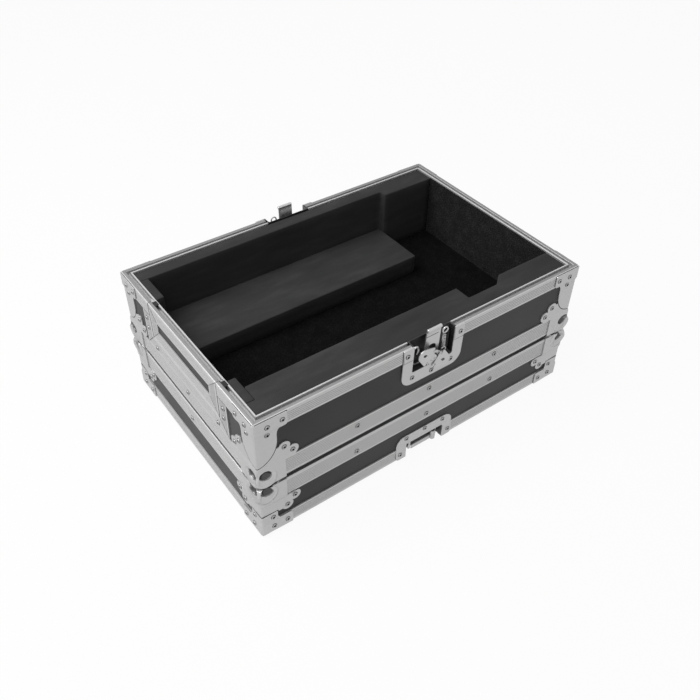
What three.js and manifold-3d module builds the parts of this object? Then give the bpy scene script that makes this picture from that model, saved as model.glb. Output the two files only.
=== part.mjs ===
// A road case for a ten-inch mixer, open, with its base standing on its own lid.
// Millimetres, +Z up, +X along the case. The origin is on the floor, under the middle of the case.
// The cable hatch is at -X, the carrying handle at +X, and a butterfly latch at -Y and at +Y.
import * as THREE from "three";
import { mergeVertices } from "three/addons/utils/BufferGeometryUtils.js";
import Module from "manifold-3d";

const wasm = await Module();
wasm.setup();

// The case as a whole
const caseLength = 530;
const caseDepth = 352;
const lidHeight = 88;
const baseHeight = 110;
const stackGap = 8;

// Sheet, board and clearances
const skin = 1.5;
const wall = 9.5;
const flat = 6.5;
const mitreGap = 0.3;
const seatGap = 0.3;
const overrun = 5;

// The hybrid rim profile: two legs over the board's edge, with a groove or a tongue between them
const baseRimFace = 21;
const lidRimFace = 22;
const rimInnerLeg = 14;
const rimCrown = 8;
const rimRound = 2.8;
const rimInnerRound = 0.6;
const grooveInset = 6;
const grooveWidth = 3.4;
const grooveDepth = 5;
const tongueHeight = 4;
const tongueClearance = 0.3;
const tongueChamfer = 0.6;
const arcSteps = 4;
const rodSides = 20;

// The plain angle along the lid's top edges and the base's bottom edges
const angleLeg = 30;
const angleRound = 1.2;

// Ball corners
const ballRadius = 19.5;
const ballInset = 16.5;
const ballRise = 5;
const ballPlay = 0.4;
const ballPocketGap = 0.3;
const cupRimCut = 1;
const ballBlockHeight = 26;
const dentRadius = 10.5;
const dentAlong = 8;
const dentOut = 4.5;
const dentRise = 14;
const leafArm = 39;
const leafReach = 56;
const lobeRadius = 8.5;
const lobeNear = 39;
const lobeFar = 50.5;
const lobeEndShare = 0.85;
const ballSlices = 16;
const ballRings = 8;
const dentSlices = 10;
const dentRings = 6;

// Corner braces
const baseBraceArm = 45;
const baseBraceTopGap = 1;
const baseBraceHalf = 30;
const baseBraceFillet = 12;
const baseBraceStraight = 18.5;
const baseBraceTip = 34.5;
const lidBraceArm = 45;
const lidBraceWidth = 24;
const lidBraceHeight = 35.5;

// Cable hatch
const hatchMargin = 84.5;
const hatchSill = 51;
const hatchPlay = 0.3;
const hatchNotch = 16;
const hatchNotchInset = 2.5;

// Foam
const foamDrop = 2.5;
const foamGap = 0.3;
const sideFoam = 13;
const sideFoamEnd = 94;
const backFoam = 20.5;
const backBlock = 33;
const blockStart = 159;
const frontFoam = 24.5;
const frontPad = 49.5;
const frontPadEnd = 91;
const frontNotchEnd = 142;
const frontStrip = 39;
const platformHeight = 31.5;
const platformFront = 48;
const lidFoamThickness = 20;

// Butterfly latch, measured from its rotor's axis on the case's outer face
const latchAxisDrop = 34;
const dishHalf = 33.5;
const dishWall = 1.5;
const dishBackWall = 1.2;
const dishFloor = 11;
const dishSill = 11;
const boardPlay = 1;
const plateHalf = 50;
const plateDrop = 31;
const plateRound = 17;
const postRadius = 7;
const postFront = 1.1;
const stemRadius = 3;
const stemLength = 6;
const runningPlay = 0.3;
const rotorRadius = 10.4;
const yokeBack = 0.4;
const yokeFront = 1.2;
const bossRadius = 4.5;
const bossHeight = 1.6;
const leafGap = 2;
const leafThickness = 1.6;
const leafTip = 31;
const leafTipRadius = 9;
const leafRootHalf = 15;
const leafRoot = 9.2;
const leafNeckHalf = 8;
const leafHole = 18.9;
const leafHoleRadius = 2.4;
const leafAxis = 6.5;
const pinRadius = 0.8;
const barrelRadius = 1.3;
const lugThickness = 2.6;
const lugHalf = 1.6;
const lugRise = 4.2;
const wingTurn = THREE.MathUtils.degToRad(34);

// Latch claw
const clawHalf = 11.5;
const clawBack = 5.5;
const clawThickness = 1.5;
const clawTop = 46;
const clawCrease = 36;
const clawLean = 2;
const clawRoll = 2.4;
const clawDraw = 11;

// Lid catch
const catchHeight = 41.5;
const catchRound = 15;
const catchHalf = 33;
const catchSill = 24;
const keeperHeight = 6;
const keeperHalf = 18;
const keeperReach = 6;
const keeperLip = 5;

// Carrying handle
const handlePlateHalf = 75;
const handlePlateEdge = 1;
const handlePlateRound = 12;
const handleDishHalf = 60;
const handleRim = 9;
const bailHalf = 50;
const bailGripRadius = 4.2;
const bailArm = 3;
const bailDepth = 5.4;
const bailAxisDrop = 5;
const bailGripDrop = 27;
const hingeLug = 5;
const hingeLugHalf = 3;

// Derived levels and widths
const rimThickness = wall + skin * 2;
const tongueInset = grooveInset + tongueClearance;
const tongueWidth = grooveWidth - tongueClearance * 2;
const lidLevel = tongueHeight;
const baseLevel = lidLevel + lidHeight + stackGap;
const halfLength = caseLength / 2;
const halfDepth = caseDepth / 2;
const panelFoot = skin + flat;
const basePanelTop = baseHeight - rimCrown;
const baseFaceFoot = baseHeight - baseRimFace;
const baseBraceTongue = baseFaceFoot - baseBraceStraight - baseBraceTip;
const hatchOpening = caseDepth - hatchMargin * 2;
const latchHeight = baseHeight - latchAxisDrop;
const dishCut = dishHalf + dishWall + boardPlay;
const foamTop = baseHeight - foamDrop;
const foamOuter = rimThickness + foamGap;
const dishDepth = dishFloor + dishBackWall;
const ballBlockSide = ballInset + ballRadius;
const clawFoot = clawDraw - dishSill + boardPlay;
const clawSlotTop = postRadius + runningPlay * 3 + clawDraw;

// Solids

/** A solid from a closed geometry whose points are moved by place(x, y, z). */
function placed(geometry, place) {
  const bare = geometry.index ? geometry.toNonIndexed() : geometry.clone();
  bare.deleteAttribute("normal");
  bare.deleteAttribute("uv");
  const merged = mergeVertices(bare);
  const positions = merged.attributes.position.array;
  const moved = new Float32Array(positions.length);
  for (let i = 0; i < positions.length; i += 3) {
    moved.set(place(positions[i], positions[i + 1], positions[i + 2]), i);
  }
  return closedSolid(moved, new Uint32Array(merged.index.array));
}

/** A solid from points and triangles, with its faces turned outwards. */
function closedSolid(vertProperties, triVerts) {
  const a = new THREE.Vector3();
  const b = new THREE.Vector3();
  const c = new THREE.Vector3();
  let volume = 0;
  for (let i = 0; i < triVerts.length; i += 3) {
    a.fromArray(vertProperties, triVerts[i] * 3);
    b.fromArray(vertProperties, triVerts[i + 1] * 3);
    c.fromArray(vertProperties, triVerts[i + 2] * 3);
    volume += a.dot(b.cross(c));
  }
  if (volume < 0) {
    for (let i = 0; i < triVerts.length; i += 3) {
      [triVerts[i], triVerts[i + 1]] = [triVerts[i + 1], triVerts[i]];
    }
  }
  return new wasm.Manifold(new wasm.Mesh({ numProp: 3, vertProperties, triVerts }));
}

/** A copy of a solid whose points are moved by place(x, y, z). */
function moved(solid, place) {
  const mesh = solid.getMesh();
  const points = new Float32Array(mesh.vertProperties.length);
  for (let i = 0; i < points.length; i += 3) {
    const [x, y, z] = mesh.vertProperties.slice(i, i + 3);
    points.set(place(x, y, z), i);
  }
  return closedSolid(points, new Uint32Array(mesh.triVerts));
}

/** A block between two corners. */
function block(low, high) {
  return placed(new THREE.BoxGeometry(1, 1, 1), (...point) =>
    point.map((value, axis) => (value < 0 ? low[axis] : high[axis])));
}

/** A prism of a flat outline; place(u, v, w) puts its points, with w at 0 and 1 on its two faces. */
function prism(shape, place, curveSegments = arcSteps) {
  const geometry = new THREE.ExtrudeGeometry(shape, { depth: 1, bevelEnabled: false, curveSegments });
  return placed(geometry, place);
}

/** A cylinder along Y, from one depth to another. */
function rod(radius, from, to, x, z, slices = rodSides) {
  const geometry = new THREE.CylinderGeometry(radius, radius, 1, slices);
  return placed(geometry, (u, v, w) => [x + u, v < 0 ? from : to, z + w]);
}

/** A ball. */
function ball(radius, centre, slices, rings) {
  const geometry = new THREE.SphereGeometry(radius, slices, rings);
  return placed(geometry, (x, y, z) => [centre[0] + x, centre[1] + y, centre[2] + z]);
}

/** A ring round a rectangle, mitred at its corners; a section point is [inset, level]. */
function ring(length, depth, section) {
  const corners = [[-1, -1], [1, -1], [1, 1], [-1, 1]];
  const count = section.length;
  const points = corners.flatMap(([sx, sy]) => section.flatMap(([inset, level]) =>
    [sx * (length / 2 - inset), sy * (depth / 2 - inset), level]));
  const index = [];
  for (let k = 0; k < corners.length; k += 1) {
    for (let i = 0; i < count; i += 1) {
      const j = (i + 1) % count;
      const next = (k + 1) % corners.length;
      const quad = [k * count + i, k * count + j, next * count + j, next * count + i];
      index.push(quad[0], quad[1], quad[2], quad[0], quad[2], quad[3]);
    }
  }
  const geometry = new THREE.BufferGeometry();
  geometry.setAttribute("position", new THREE.Float32BufferAttribute(points, 3));
  geometry.setIndex(index);
  return geometry;
}

/** A straight length of a section, its ends square, or mitred where the mitre is 1. */
function straight(section, from, to, fromMitre, toMitre, place) {
  const shape = new THREE.Shape(section.map(([inset, level]) => new THREE.Vector2(inset, level)));
  return prism(shape, (inset, level, end) => {
    const along = end < 0.5 ? from + inset * fromMitre : to - inset * toMitre;
    return place(along, inset, level);
  });
}

/** An outline through [u, v] points. */
function outline(points) {
  return new THREE.Shape(points.map(([u, v]) => new THREE.Vector2(u, v)));
}

/** A rectangle with rounded corners, each with its own radius, from the lower left one round. */
function roundedRectangle(left, low, right, high, radii) {
  const [r1, r2, r3, r4] = radii;
  const shape = new THREE.Shape();
  shape.moveTo(left + r1, low);
  shape.lineTo(right - r2, low);
  if (r2) shape.absarc(right - r2, low + r2, r2, -Math.PI / 2, 0);
  shape.lineTo(right, high - r3);
  if (r3) shape.absarc(right - r3, high - r3, r3, 0, Math.PI / 2);
  shape.lineTo(left + r4, high);
  if (r4) shape.absarc(left + r4, high - r4, r4, Math.PI / 2, Math.PI);
  shape.lineTo(left, low + r1);
  if (r1) shape.absarc(left + r1, low + r1, r1, Math.PI, Math.PI * 1.5);
  return shape;
}

/** Points on a quarter circle, from one angle towards the other. */
function quarter(centreU, centreV, radius, fromTurn, toTurn) {
  return Array.from({ length: arcSteps + 1 }, (_, step) => {
    const turn = (fromTurn + (toTurn - fromTurn) * step / arcSteps) * Math.PI * 2;
    return [centreU + radius * Math.cos(turn), centreV + radius * Math.sin(turn)];
  });
}

// Placing functions: distances along a side, in from its outer face and up become x, y, z
const sides = {
  front: (along, inset, level) => [along, -halfDepth + inset, level],
  back: (along, inset, level) => [along, halfDepth - inset, level],
  left: (along, inset, level) => [-halfLength + inset, along, level],
  right: (along, inset, level) => [halfLength - inset, along, level],
};

/** Distances in from three faces that meet at a corner become x, y, z. */
function cornerPlace(sx, sy, faceLevel, inward) {
  return (x, y, z) => [sx * (halfLength - x), sy * (halfDepth - y), faceLevel + inward * z];
}

const cornerNames = { front_left: [-1, -1], front_right: [1, -1], back_left: [-1, 1], back_right: [1, 1] };

// Finishes
const finishes = {
  profile: { color: 0xc4c6c8, metalness: 0.9, roughness: 0.38 },
  plate: { color: 0xb9bcc0, metalness: 0.95, roughness: 0.3 },
  ballSteel: { color: 0xadb0b5, metalness: 1, roughness: 0.22 },
  laminate: { color: 0x2c2c2e, metalness: 0, roughness: 0.55 },
  board: { color: 0x2f2f31, metalness: 0, roughness: 0.6 },
  foam: { color: 0x333335, metalness: 0, roughness: 0.95 },
  grip: { color: 0x1b1b1c, metalness: 0, roughness: 0.7 },
};

/** Adds a solid to a group as a named mesh of a finish. */
function add(group, name, solid, finish) {
  const mesh = solid.getMesh();
  const geometry = new THREE.BufferGeometry();
  geometry.setAttribute("position", new THREE.BufferAttribute(mesh.vertProperties, 3));
  geometry.setIndex(new THREE.BufferAttribute(mesh.triVerts, 1));
  geometry.computeVertexNormals();
  const piece = new THREE.Mesh(geometry, new THREE.MeshStandardMaterial(finishes[finish]));
  piece.name = name;
  group.add(piece);
}

// Sections, as [inset from the outer face, depth from the edge] points

/** The rim profile's section, with a groove, or with a tongue on its crown. */
function rimSection(face, hasTongue) {
  const tongueEnd = tongueInset + tongueWidth;
  const grooveEnd = grooveInset + grooveWidth;
  const middle = hasTongue
    ? [[tongueInset, 0], [tongueInset, tongueChamfer - tongueHeight],
      [tongueInset + tongueChamfer, -tongueHeight], [tongueEnd - tongueChamfer, -tongueHeight],
      [tongueEnd, tongueChamfer - tongueHeight], [tongueEnd, 0]]
    : [[grooveInset, 0], [grooveInset, grooveDepth], [grooveEnd, grooveDepth], [grooveEnd, 0]];
  return [
    [0, face],
    ...quarter(rimRound, rimRound, rimRound, 0.5, 0.75),
    ...middle,
    [rimThickness - rimInnerRound, 0],
    [rimThickness, rimInnerRound],
    [rimThickness, rimInnerLeg],
    [rimThickness - skin, rimInnerLeg],
    [rimThickness - skin, rimCrown],
    [skin, rimCrown],
    [skin, face],
  ];
}

/** The plain angle's section. */
function angleSection() {
  return [
    [0, angleLeg],
    ...quarter(angleRound, angleRound, angleRound, 0.5, 0.75),
    [angleLeg, 0],
    [angleLeg, skin],
    [skin, skin],
    [skin, angleLeg],
  ];
}

// Ball corners, in a frame of distances in from the three faces

const ballCentre = [ballInset, ballInset, ballRise];

/** The room that a ball corner takes out of the boards and angles. */
function cornerPocket() {
  const side = ballBlockSide + ballPocketGap;
  return block([-overrun, -overrun, -overrun], [side, side, ballBlockHeight + ballPocketGap]);
}

/** One leaf's outline: an arm over the angle and two riveted lobes; bounds clip its far edges. */
function leafOutline() {
  const shape = new THREE.Shape();
  const reach = Math.sqrt(lobeRadius ** 2 - ((lobeFar - lobeNear) / 2) ** 2 * 2);
  const middle = (lobeNear + lobeFar) / 2 + reach / Math.SQRT2;
  const toMiddle = Math.atan2(middle - lobeNear, middle - lobeFar);
  const fromMiddle = Math.PI / 2 - toMiddle;
  shape.moveTo(-skin, -skin);
  shape.lineTo(leafArm, -skin);
  shape.lineTo(leafArm, lobeNear - lobeRadius);
  shape.lineTo(lobeFar, lobeNear - lobeRadius);
  shape.absarc(lobeFar, lobeNear, lobeRadius, -Math.PI / 2, toMiddle);
  shape.absarc(lobeNear, lobeFar, lobeRadius, fromMiddle, Math.PI * lobeEndShare);
  shape.lineTo(-skin, leafReach);
  return shape;
}

/** A leaf on a vertical face, stepped down off the angle onto the board. */
function uprightLeaf(place, clip) {
  const shape = leafOutline();
  const step = angleLeg + seatGap;
  const far = lobeFar + lobeRadius + overrun;
  const over = prism(shape, (u, v, w) => [u, w ? 0 : -skin, v]);
  const under = prism(shape, (u, v, w) => [u, w ? skin : 0, v]);
  const joggle = prism(shape, (u, v, w) => [u, w ? skin : -skin, v]);
  const leaf = over.intersect(block([-overrun, -overrun, -overrun], [far, overrun, step + skin]))
    .add(under.intersect(block([0, -overrun, step], [far, overrun, far])))
    .add(joggle.intersect(block([0, -overrun, step], [far, overrun, step + skin])));
  return moved(leaf.subtract(clip), place);
}

/** The leaf on the horizontal face, stepped down inside the angle. */
function levelLeaf() {
  const shape = leafOutline();
  const step = angleLeg + seatGap;
  const far = lobeFar + lobeRadius + overrun;
  const inner = (level) => block([level, level, -overrun], [far, far, overrun]);
  const over = prism(shape, (u, v, w) => [u, v, w ? 0 : -skin]);
  const under = prism(shape, (u, v, w) => [u, v, w ? skin : 0]);
  const joggle = prism(shape, (u, v, w) => [u, v, w ? skin : -skin]);
  return over.subtract(inner(step + skin))
    .add(under.intersect(inner(step)))
    .add(joggle.intersect(inner(step)).subtract(inner(step + skin)));
}

/** A ball corner: a dented ball in the sawn-off corner, with a riveted leaf on each face. */
function ballCorner(leafClip) {
  const boardInner = skin + wall;
  const inside = block([boardInner, boardInner, panelFoot],
    [leafReach, leafReach, leafReach]);
  const far = ballRadius * 2;
  const whole = ball(ballRadius, ballCentre, ballSlices, ballRings);
  const core = block([0, 0, 0], [ballBlockSide, ballBlockSide, ballBlockHeight])
    .add(whole.intersect(block([-far, -far, -far], [ballBlockSide, ballBlockSide, ballBlockHeight])))
    .add(whole.intersect(block([-far, -far, -far], [far, far, 0])))
    .subtract(inside);
  const leaves = uprightLeaf((x, y, z) => [x, y, z], leafClip)
    .add(uprightLeaf((x, y, z) => [y, x, z], leafClip))
    .add(levelLeaf());
  const dents = ball(dentRadius, [dentAlong, -dentOut, dentRise], dentSlices, dentRings)
    .add(ball(dentRadius, [-dentOut, dentAlong, dentRise], dentSlices, dentRings));
  return core.add(leaves).subtract(dents);
}

/** The base's ball corner: its leaves stop at the brace's tongue. */
function baseBallCorner() {
  const clip = prism(tongueOutline(seatGap), (u, v, w) => [u, w ? overrun : -overrun, v]);
  return ballCorner(clip);
}

/** The lid's ball corner: a cup on top takes the ball of whatever stands on it. */
function lidBallCorner() {
  const braceTop = lidHeight - lidBraceHeight - seatGap;
  const clip = block([-overrun, -overrun, braceTop],
    [lidBraceWidth + seatGap, overrun, lidHeight]);
  const guest = [ballInset, ballInset, -stackGap - ballRise];
  const rim = -stackGap / 2 + cupRimCut;
  const cup = ball(ballRadius + ballPlay, guest, ballSlices, ballRings)
    .add(block([-overrun, -overrun, -ballRadius * 2], [leafReach, leafReach, rim]));
  return ballCorner(clip).subtract(cup);
}

// Corner braces, in the same frame, with the third distance up from the base's bottom or the lid's rim

/** The base brace's tongue: straight below the arm, then half an ellipse; grow widens it all round. */
function tongueOutline(grow) {
  const shape = new THREE.Shape();
  const straightFoot = baseBraceTip + baseBraceTongue;
  const half = baseBraceHalf + grow;
  shape.moveTo(-overrun, baseHeight);
  shape.lineTo(-overrun, baseBraceTip - grow);
  shape.lineTo(0, baseBraceTip - grow);
  shape.absellipse(0, straightFoot, half, baseBraceTongue + grow, -Math.PI / 2, 0, false);
  shape.lineTo(half, baseHeight);
  return shape;
}

/** One face of the base's brace, from the arm on the rim down to the tongue on the board. */
function baseBraceFace() {
  const top = baseHeight - baseBraceTopGap;
  const step = baseFaceFoot - seatGap;
  const fillet = new THREE.Shape();
  fillet.moveTo(0, step);
  fillet.lineTo(0, step - baseBraceFillet);
  fillet.lineTo(baseBraceHalf, step - baseBraceFillet);
  fillet.quadraticCurveTo(baseBraceHalf, step, baseBraceArm, step);
  const arm = block([-skin, -skin, step - skin], [baseBraceArm, 0, top]);
  const tongue = prism(tongueOutline(0), (u, v, w) => [u, w ? skin : 0, v])
    .add(prism(fillet, (u, v, w) => [u, w ? skin : 0, v]))
    .intersect(block([0, -overrun, 0], [baseBraceArm, overrun, step]));
  const joggle = block([0, -skin, step - skin], [baseBraceArm, skin, step]);
  return arm.add(tongue).add(joggle);
}

/** The base's brace: two faces folded round the upright edge. */
function baseBrace() {
  const face = baseBraceFace();
  return face.add(moved(face, (x, y, z) => [y, x, z]));
}

/** The lid's brace: a short upright and an arm along the rim, on both faces. */
function lidBrace() {
  const step = lidRimFace + seatGap;
  const face = block([-skin, -skin, 0], [lidBraceArm, 0, lidRimFace - seatGap])
    .add(block([-skin, -skin, 0], [lidBraceWidth, 0, step + skin]))
    .add(block([0, 0, step], [lidBraceWidth, skin, lidBraceHeight]))
    .add(block([0, -skin, step], [lidBraceWidth, skin, step + skin]));
  return face.add(moved(face, (x, y, z) => [y, x, z]));
}

// Lid

/** A wall board between two levels, standing in the profiles. */
function wallBoard(side, from, to, low, high) {
  const place = sides[side];
  const ends = [place(from, skin, low), place(to, skin + wall, high)];
  const corner = (pick) => ends[0].map((value, axis) => pick(value, ends[1][axis]));
  return block(corner(Math.min), corner(Math.max));
}

/** Takes a pocket out of a solid at each corner of the case. */
function withPockets(solid, pocket, faceLevel, inward) {
  return Object.values(cornerNames).reduce((rest, [sx, sy]) =>
    rest.subtract(moved(pocket, cornerPlace(sx, sy, faceLevel, inward))), solid);
}

/** A block cut through one side, from outside to inside, between two places along it. */
function sideCut(side, from, to, low, high, depth = rimThickness + overrun) {
  const place = sides[side];
  const ends = [place(from, -overrun, low), place(to, depth, high)];
  const corner = (pick) => ends[0].map((value, axis) => pick(value, ends[1][axis]));
  return block(corner(Math.min), corner(Math.max));
}

/** A catch plate: a dish for the claw, open at the rim, with a keeper across its back. */
function catchPlate() {
  const step = lidRimFace + seatGap;
  const shape = roundedRectangle(-plateHalf, 0, plateHalf, catchHeight, [0, 0, catchRound, catchRound]);
  const over = prism(shape, (u, v, w) => [u, w ? 0 : -skin, v]);
  const under = prism(shape, (u, v, w) => [u, w ? skin : 0, v]);
  const joggle = prism(shape, (u, v, w) => [u, w ? skin : -skin, v]);
  const belt = (low, high) => block([-plateHalf, -overrun, low], [plateHalf, overrun, high]);
  const flange = over.intersect(belt(0, step + skin))
    .add(under.intersect(belt(step, catchHeight)))
    .add(joggle.intersect(belt(step, step + skin)));
  const tub = block([-catchHalf - dishWall, 0, 0], [catchHalf + dishWall, dishDepth, catchSill + dishWall]);
  const hollow = block([-catchHalf, -overrun, -overrun], [catchHalf, dishFloor, catchSill]);
  const keeper = block([-keeperHalf, dishFloor - keeperReach, keeperHeight],
    [keeperHalf, dishFloor, keeperHeight + dishWall])
    .add(block([-keeperHalf, dishFloor - keeperReach, keeperHeight - keeperLip],
      [keeperHalf, dishFloor - keeperReach + dishWall, keeperHeight]));
  return flange.add(tub).subtract(hollow).add(keeper);
}

/** The lid, rim down, standing on the tips of its tongue. */
function makeLid() {
  const lid = new THREE.Group();
  lid.position.z = lidLevel;
  const pocket = cornerPocket();
  const top = lidHeight - skin;
  const cut = (solid) => withPockets(solid, pocket, lidHeight, -1);
  const catchCut = catchHalf + dishWall + boardPlay;
  const catchTop = catchSill + dishWall + boardPlay;

  add(lid, "lid_top_panel", cut(block([-halfLength + skin, -halfDepth + skin, top - flat],
    [halfLength - skin, halfDepth - skin, top])), "laminate");
  for (const side of ["front", "back"]) {
    const board = wallBoard(side, -halfLength + skin, halfLength - skin, rimCrown, top - flat)
      .subtract(sideCut(side, -catchCut, catchCut, 0, catchTop));
    add(lid, `lid_${side}_panel`, cut(board), "laminate");
  }
  const inner = halfDepth - skin - wall;
  for (const side of ["left", "right"]) {
    const board = wallBoard(side, -inner, inner, rimCrown, top - flat);
    add(lid, `lid_${side}_panel`, cut(board), "laminate");
  }

  const edging = placed(ring(caseLength, caseDepth, angleSection()),
    (x, y, z) => [x, y, lidHeight - z]);
  add(lid, "lid_top_edging", cut(edging), "profile");
  const rim = placed(ring(caseLength, caseDepth, rimSection(lidRimFace, true)), (x, y, z) => [x, y, z]);
  const reach = [halfLength + overrun, halfDepth + overrun, lidHeight];
  add(lid, "lid_rim_left_half",
    rim.subtract(block([-catchCut, -reach[1], -reach[2]], reach)), "profile");
  add(lid, "lid_rim_right_half",
    rim.subtract(block(reach.map((value) => -value), [catchCut, reach[1], reach[2]])), "profile");

  const brace = lidBrace();
  const corner = lidBallCorner();
  for (const [name, [sx, sy]] of Object.entries(cornerNames)) {
    add(lid, `lid_corner_brace_${name}`, moved(brace, cornerPlace(sx, sy, 0, 1)), "plate");
    add(lid, `lid_ball_corner_${name}`, moved(corner, cornerPlace(sx, sy, lidHeight, -1)), "ballSteel");
  }
  const plate = catchPlate();
  add(lid, "lid_catch_front", moved(plate, sides.front), "plate");
  add(lid, "lid_catch_back", moved(plate, sides.back), "plate");

  const padX = halfLength - foamOuter;
  const padY = halfDepth - foamOuter;
  const lining = block([-padX, -padY, top - flat - lidFoamThickness], [padX, padY, top - flat]);
  add(lid, "lid_foam", lining, "foam");
  return lid;
}

// Base

/** The base's rim pieces: mitred at the corners, square at the latches and the hatch. */
function addBaseRim(base) {
  const section = rimSection(baseRimFace, false).map(([inset, depth]) => [inset, baseHeight - depth]);
  const gap = mitreGap / 2;
  const endX = halfLength - gap;
  const endY = halfDepth - gap;
  for (const side of ["front", "back"]) {
    add(base, `base_rim_${side}_left`,
      straight(section, -endX, -dishCut, 1, 0, sides[side]), "profile");
    add(base, `base_rim_${side}_right`,
      straight(section, dishCut, endX, 0, 1, sides[side]), "profile");
  }
  add(base, "base_rim_right", straight(section, -endY, endY, 1, 1, sides.right), "profile");

  const hatchEnd = hatchOpening / 2;
  const slotEnd = hatchEnd + grooveDepth;
  const slot = (from, to, low) => block([-halfLength + grooveInset, from, low],
    [-halfLength + grooveInset + grooveWidth, to, baseHeight + overrun]);
  const notchFrom = hatchEnd + hatchNotchInset;
  const front = straight(section, -endY, -hatchEnd, 1, 0, sides.left)
    .subtract(slot(-slotEnd, 0, 0))
    .subtract(slot(-notchFrom - hatchNotch, -notchFrom, baseHeight - rimCrown - overrun));
  const back = straight(section, hatchEnd, endY, 0, 1, sides.left)
    .subtract(slot(0, slotEnd, 0));
  add(base, "base_rim_left_front", front, "profile");
  add(base, "base_rim_left_back", back, "profile");
}

/** The frame round the cable hatch's opening: a U whose groove takes the hatch's tongue. */
function hatchOpeningFrame() {
  const section = rimSection(baseRimFace, false).map(([inset, depth]) => [-depth, inset]);
  const height = (baseHeight - hatchSill) * 2;
  const full = placed(ring(hatchOpening, height, section),
    (x, y, z) => [-halfLength + z, x, baseHeight + y]);
  const far = height * 2;
  const wide = hatchOpening;
  return full
    .subtract(block([-halfLength - overrun, -wide, basePanelTop], [0, wide, far]))
    .subtract(block([-halfLength - overrun, -wide, baseFaceFoot], [-halfLength + skin, wide, far]))
    .subtract(block([-halfLength + rimThickness - skin, -wide, baseHeight - rimInnerLeg], [0, wide, far]));
}

/** The hatch's own frame: a tongue at its sides and sill, and a length of grooved rim on top. */
function hatchFrame() {
  const section = rimSection(baseRimFace, true).map(([inset, depth]) => [depth, inset]);
  const sill = hatchSill + hatchPlay;
  const width = hatchOpening - hatchPlay * 2;
  const middle = (sill + baseHeight) / 2;
  const full = placed(ring(width, baseHeight - sill, section),
    (x, y, z) => [-halfLength + z, x, middle + y]);
  const grooveX = [-halfLength + grooveInset, -halfLength + grooveInset + grooveWidth];
  const groove = (from, to, depth) => block([grooveX[0], from, baseHeight - depth],
    [grooveX[1], to, baseHeight + overrun]);
  return full
    .subtract(block([-halfLength - overrun, -width, baseHeight], [0, width, baseHeight + overrun * 2]))
    .subtract(groove(-width / 2, width / 2, grooveDepth))
    .subtract(groove(width / 2 - hatchNotchInset - hatchNotch, width / 2 - hatchNotchInset,
      rimCrown + overrun));
}

/** A block of foam from an outline in plan, from the floor up. */
function foamBlock(points, top) {
  return prism(outline(points), (u, v, w) => [u, v, w ? top : panelFoot]);
}

/** The foam that holds the mixer. */
function addFoam(base) {
  const outerX = halfLength - foamOuter;
  const outerY = halfDepth - foamOuter;
  const sideX = -halfLength + rimThickness + sideFoam;
  const frontY = -halfDepth + rimThickness + frontFoam;
  const padY = -halfDepth + rimThickness + frontPad;
  const stripY = -halfDepth + rimThickness + frontStrip;
  const backY = halfDepth - rimThickness - backFoam;
  const blockY = halfDepth - rimThickness - backBlock;
  const front = [
    [-outerX, -outerY], [outerX, -outerY], [outerX, stripY], [blockStart, stripY],
    [frontNotchEnd, frontY], [frontPadEnd, frontY], [frontPadEnd, padY],
    [sideX, padY], [sideX, frontY], [-outerX, frontY],
  ];
  const back = [
    [-outerX, outerY], [-outerX, backY], [blockStart, backY], [blockStart, blockY],
    [outerX, blockY], [outerX, outerY],
  ];
  add(base, "foam_front", foamBlock(front, foamTop), "foam");
  add(base, "foam_back", foamBlock(back, foamTop), "foam");
  const edge = sideX - foamGap;
  add(base, "foam_left_front", block([-outerX, frontY + foamGap, panelFoot],
    [edge, -sideFoamEnd, foamTop]), "foam");
  add(base, "foam_left_back", block([-outerX, sideFoamEnd, panelFoot],
    [edge, backY - foamGap, foamTop]), "foam");
  add(base, "foam_platform", block([sideX, platformFront, panelFoot],
    [blockStart - foamGap, backY - foamGap, panelFoot + platformHeight]), "foam");
}

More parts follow.
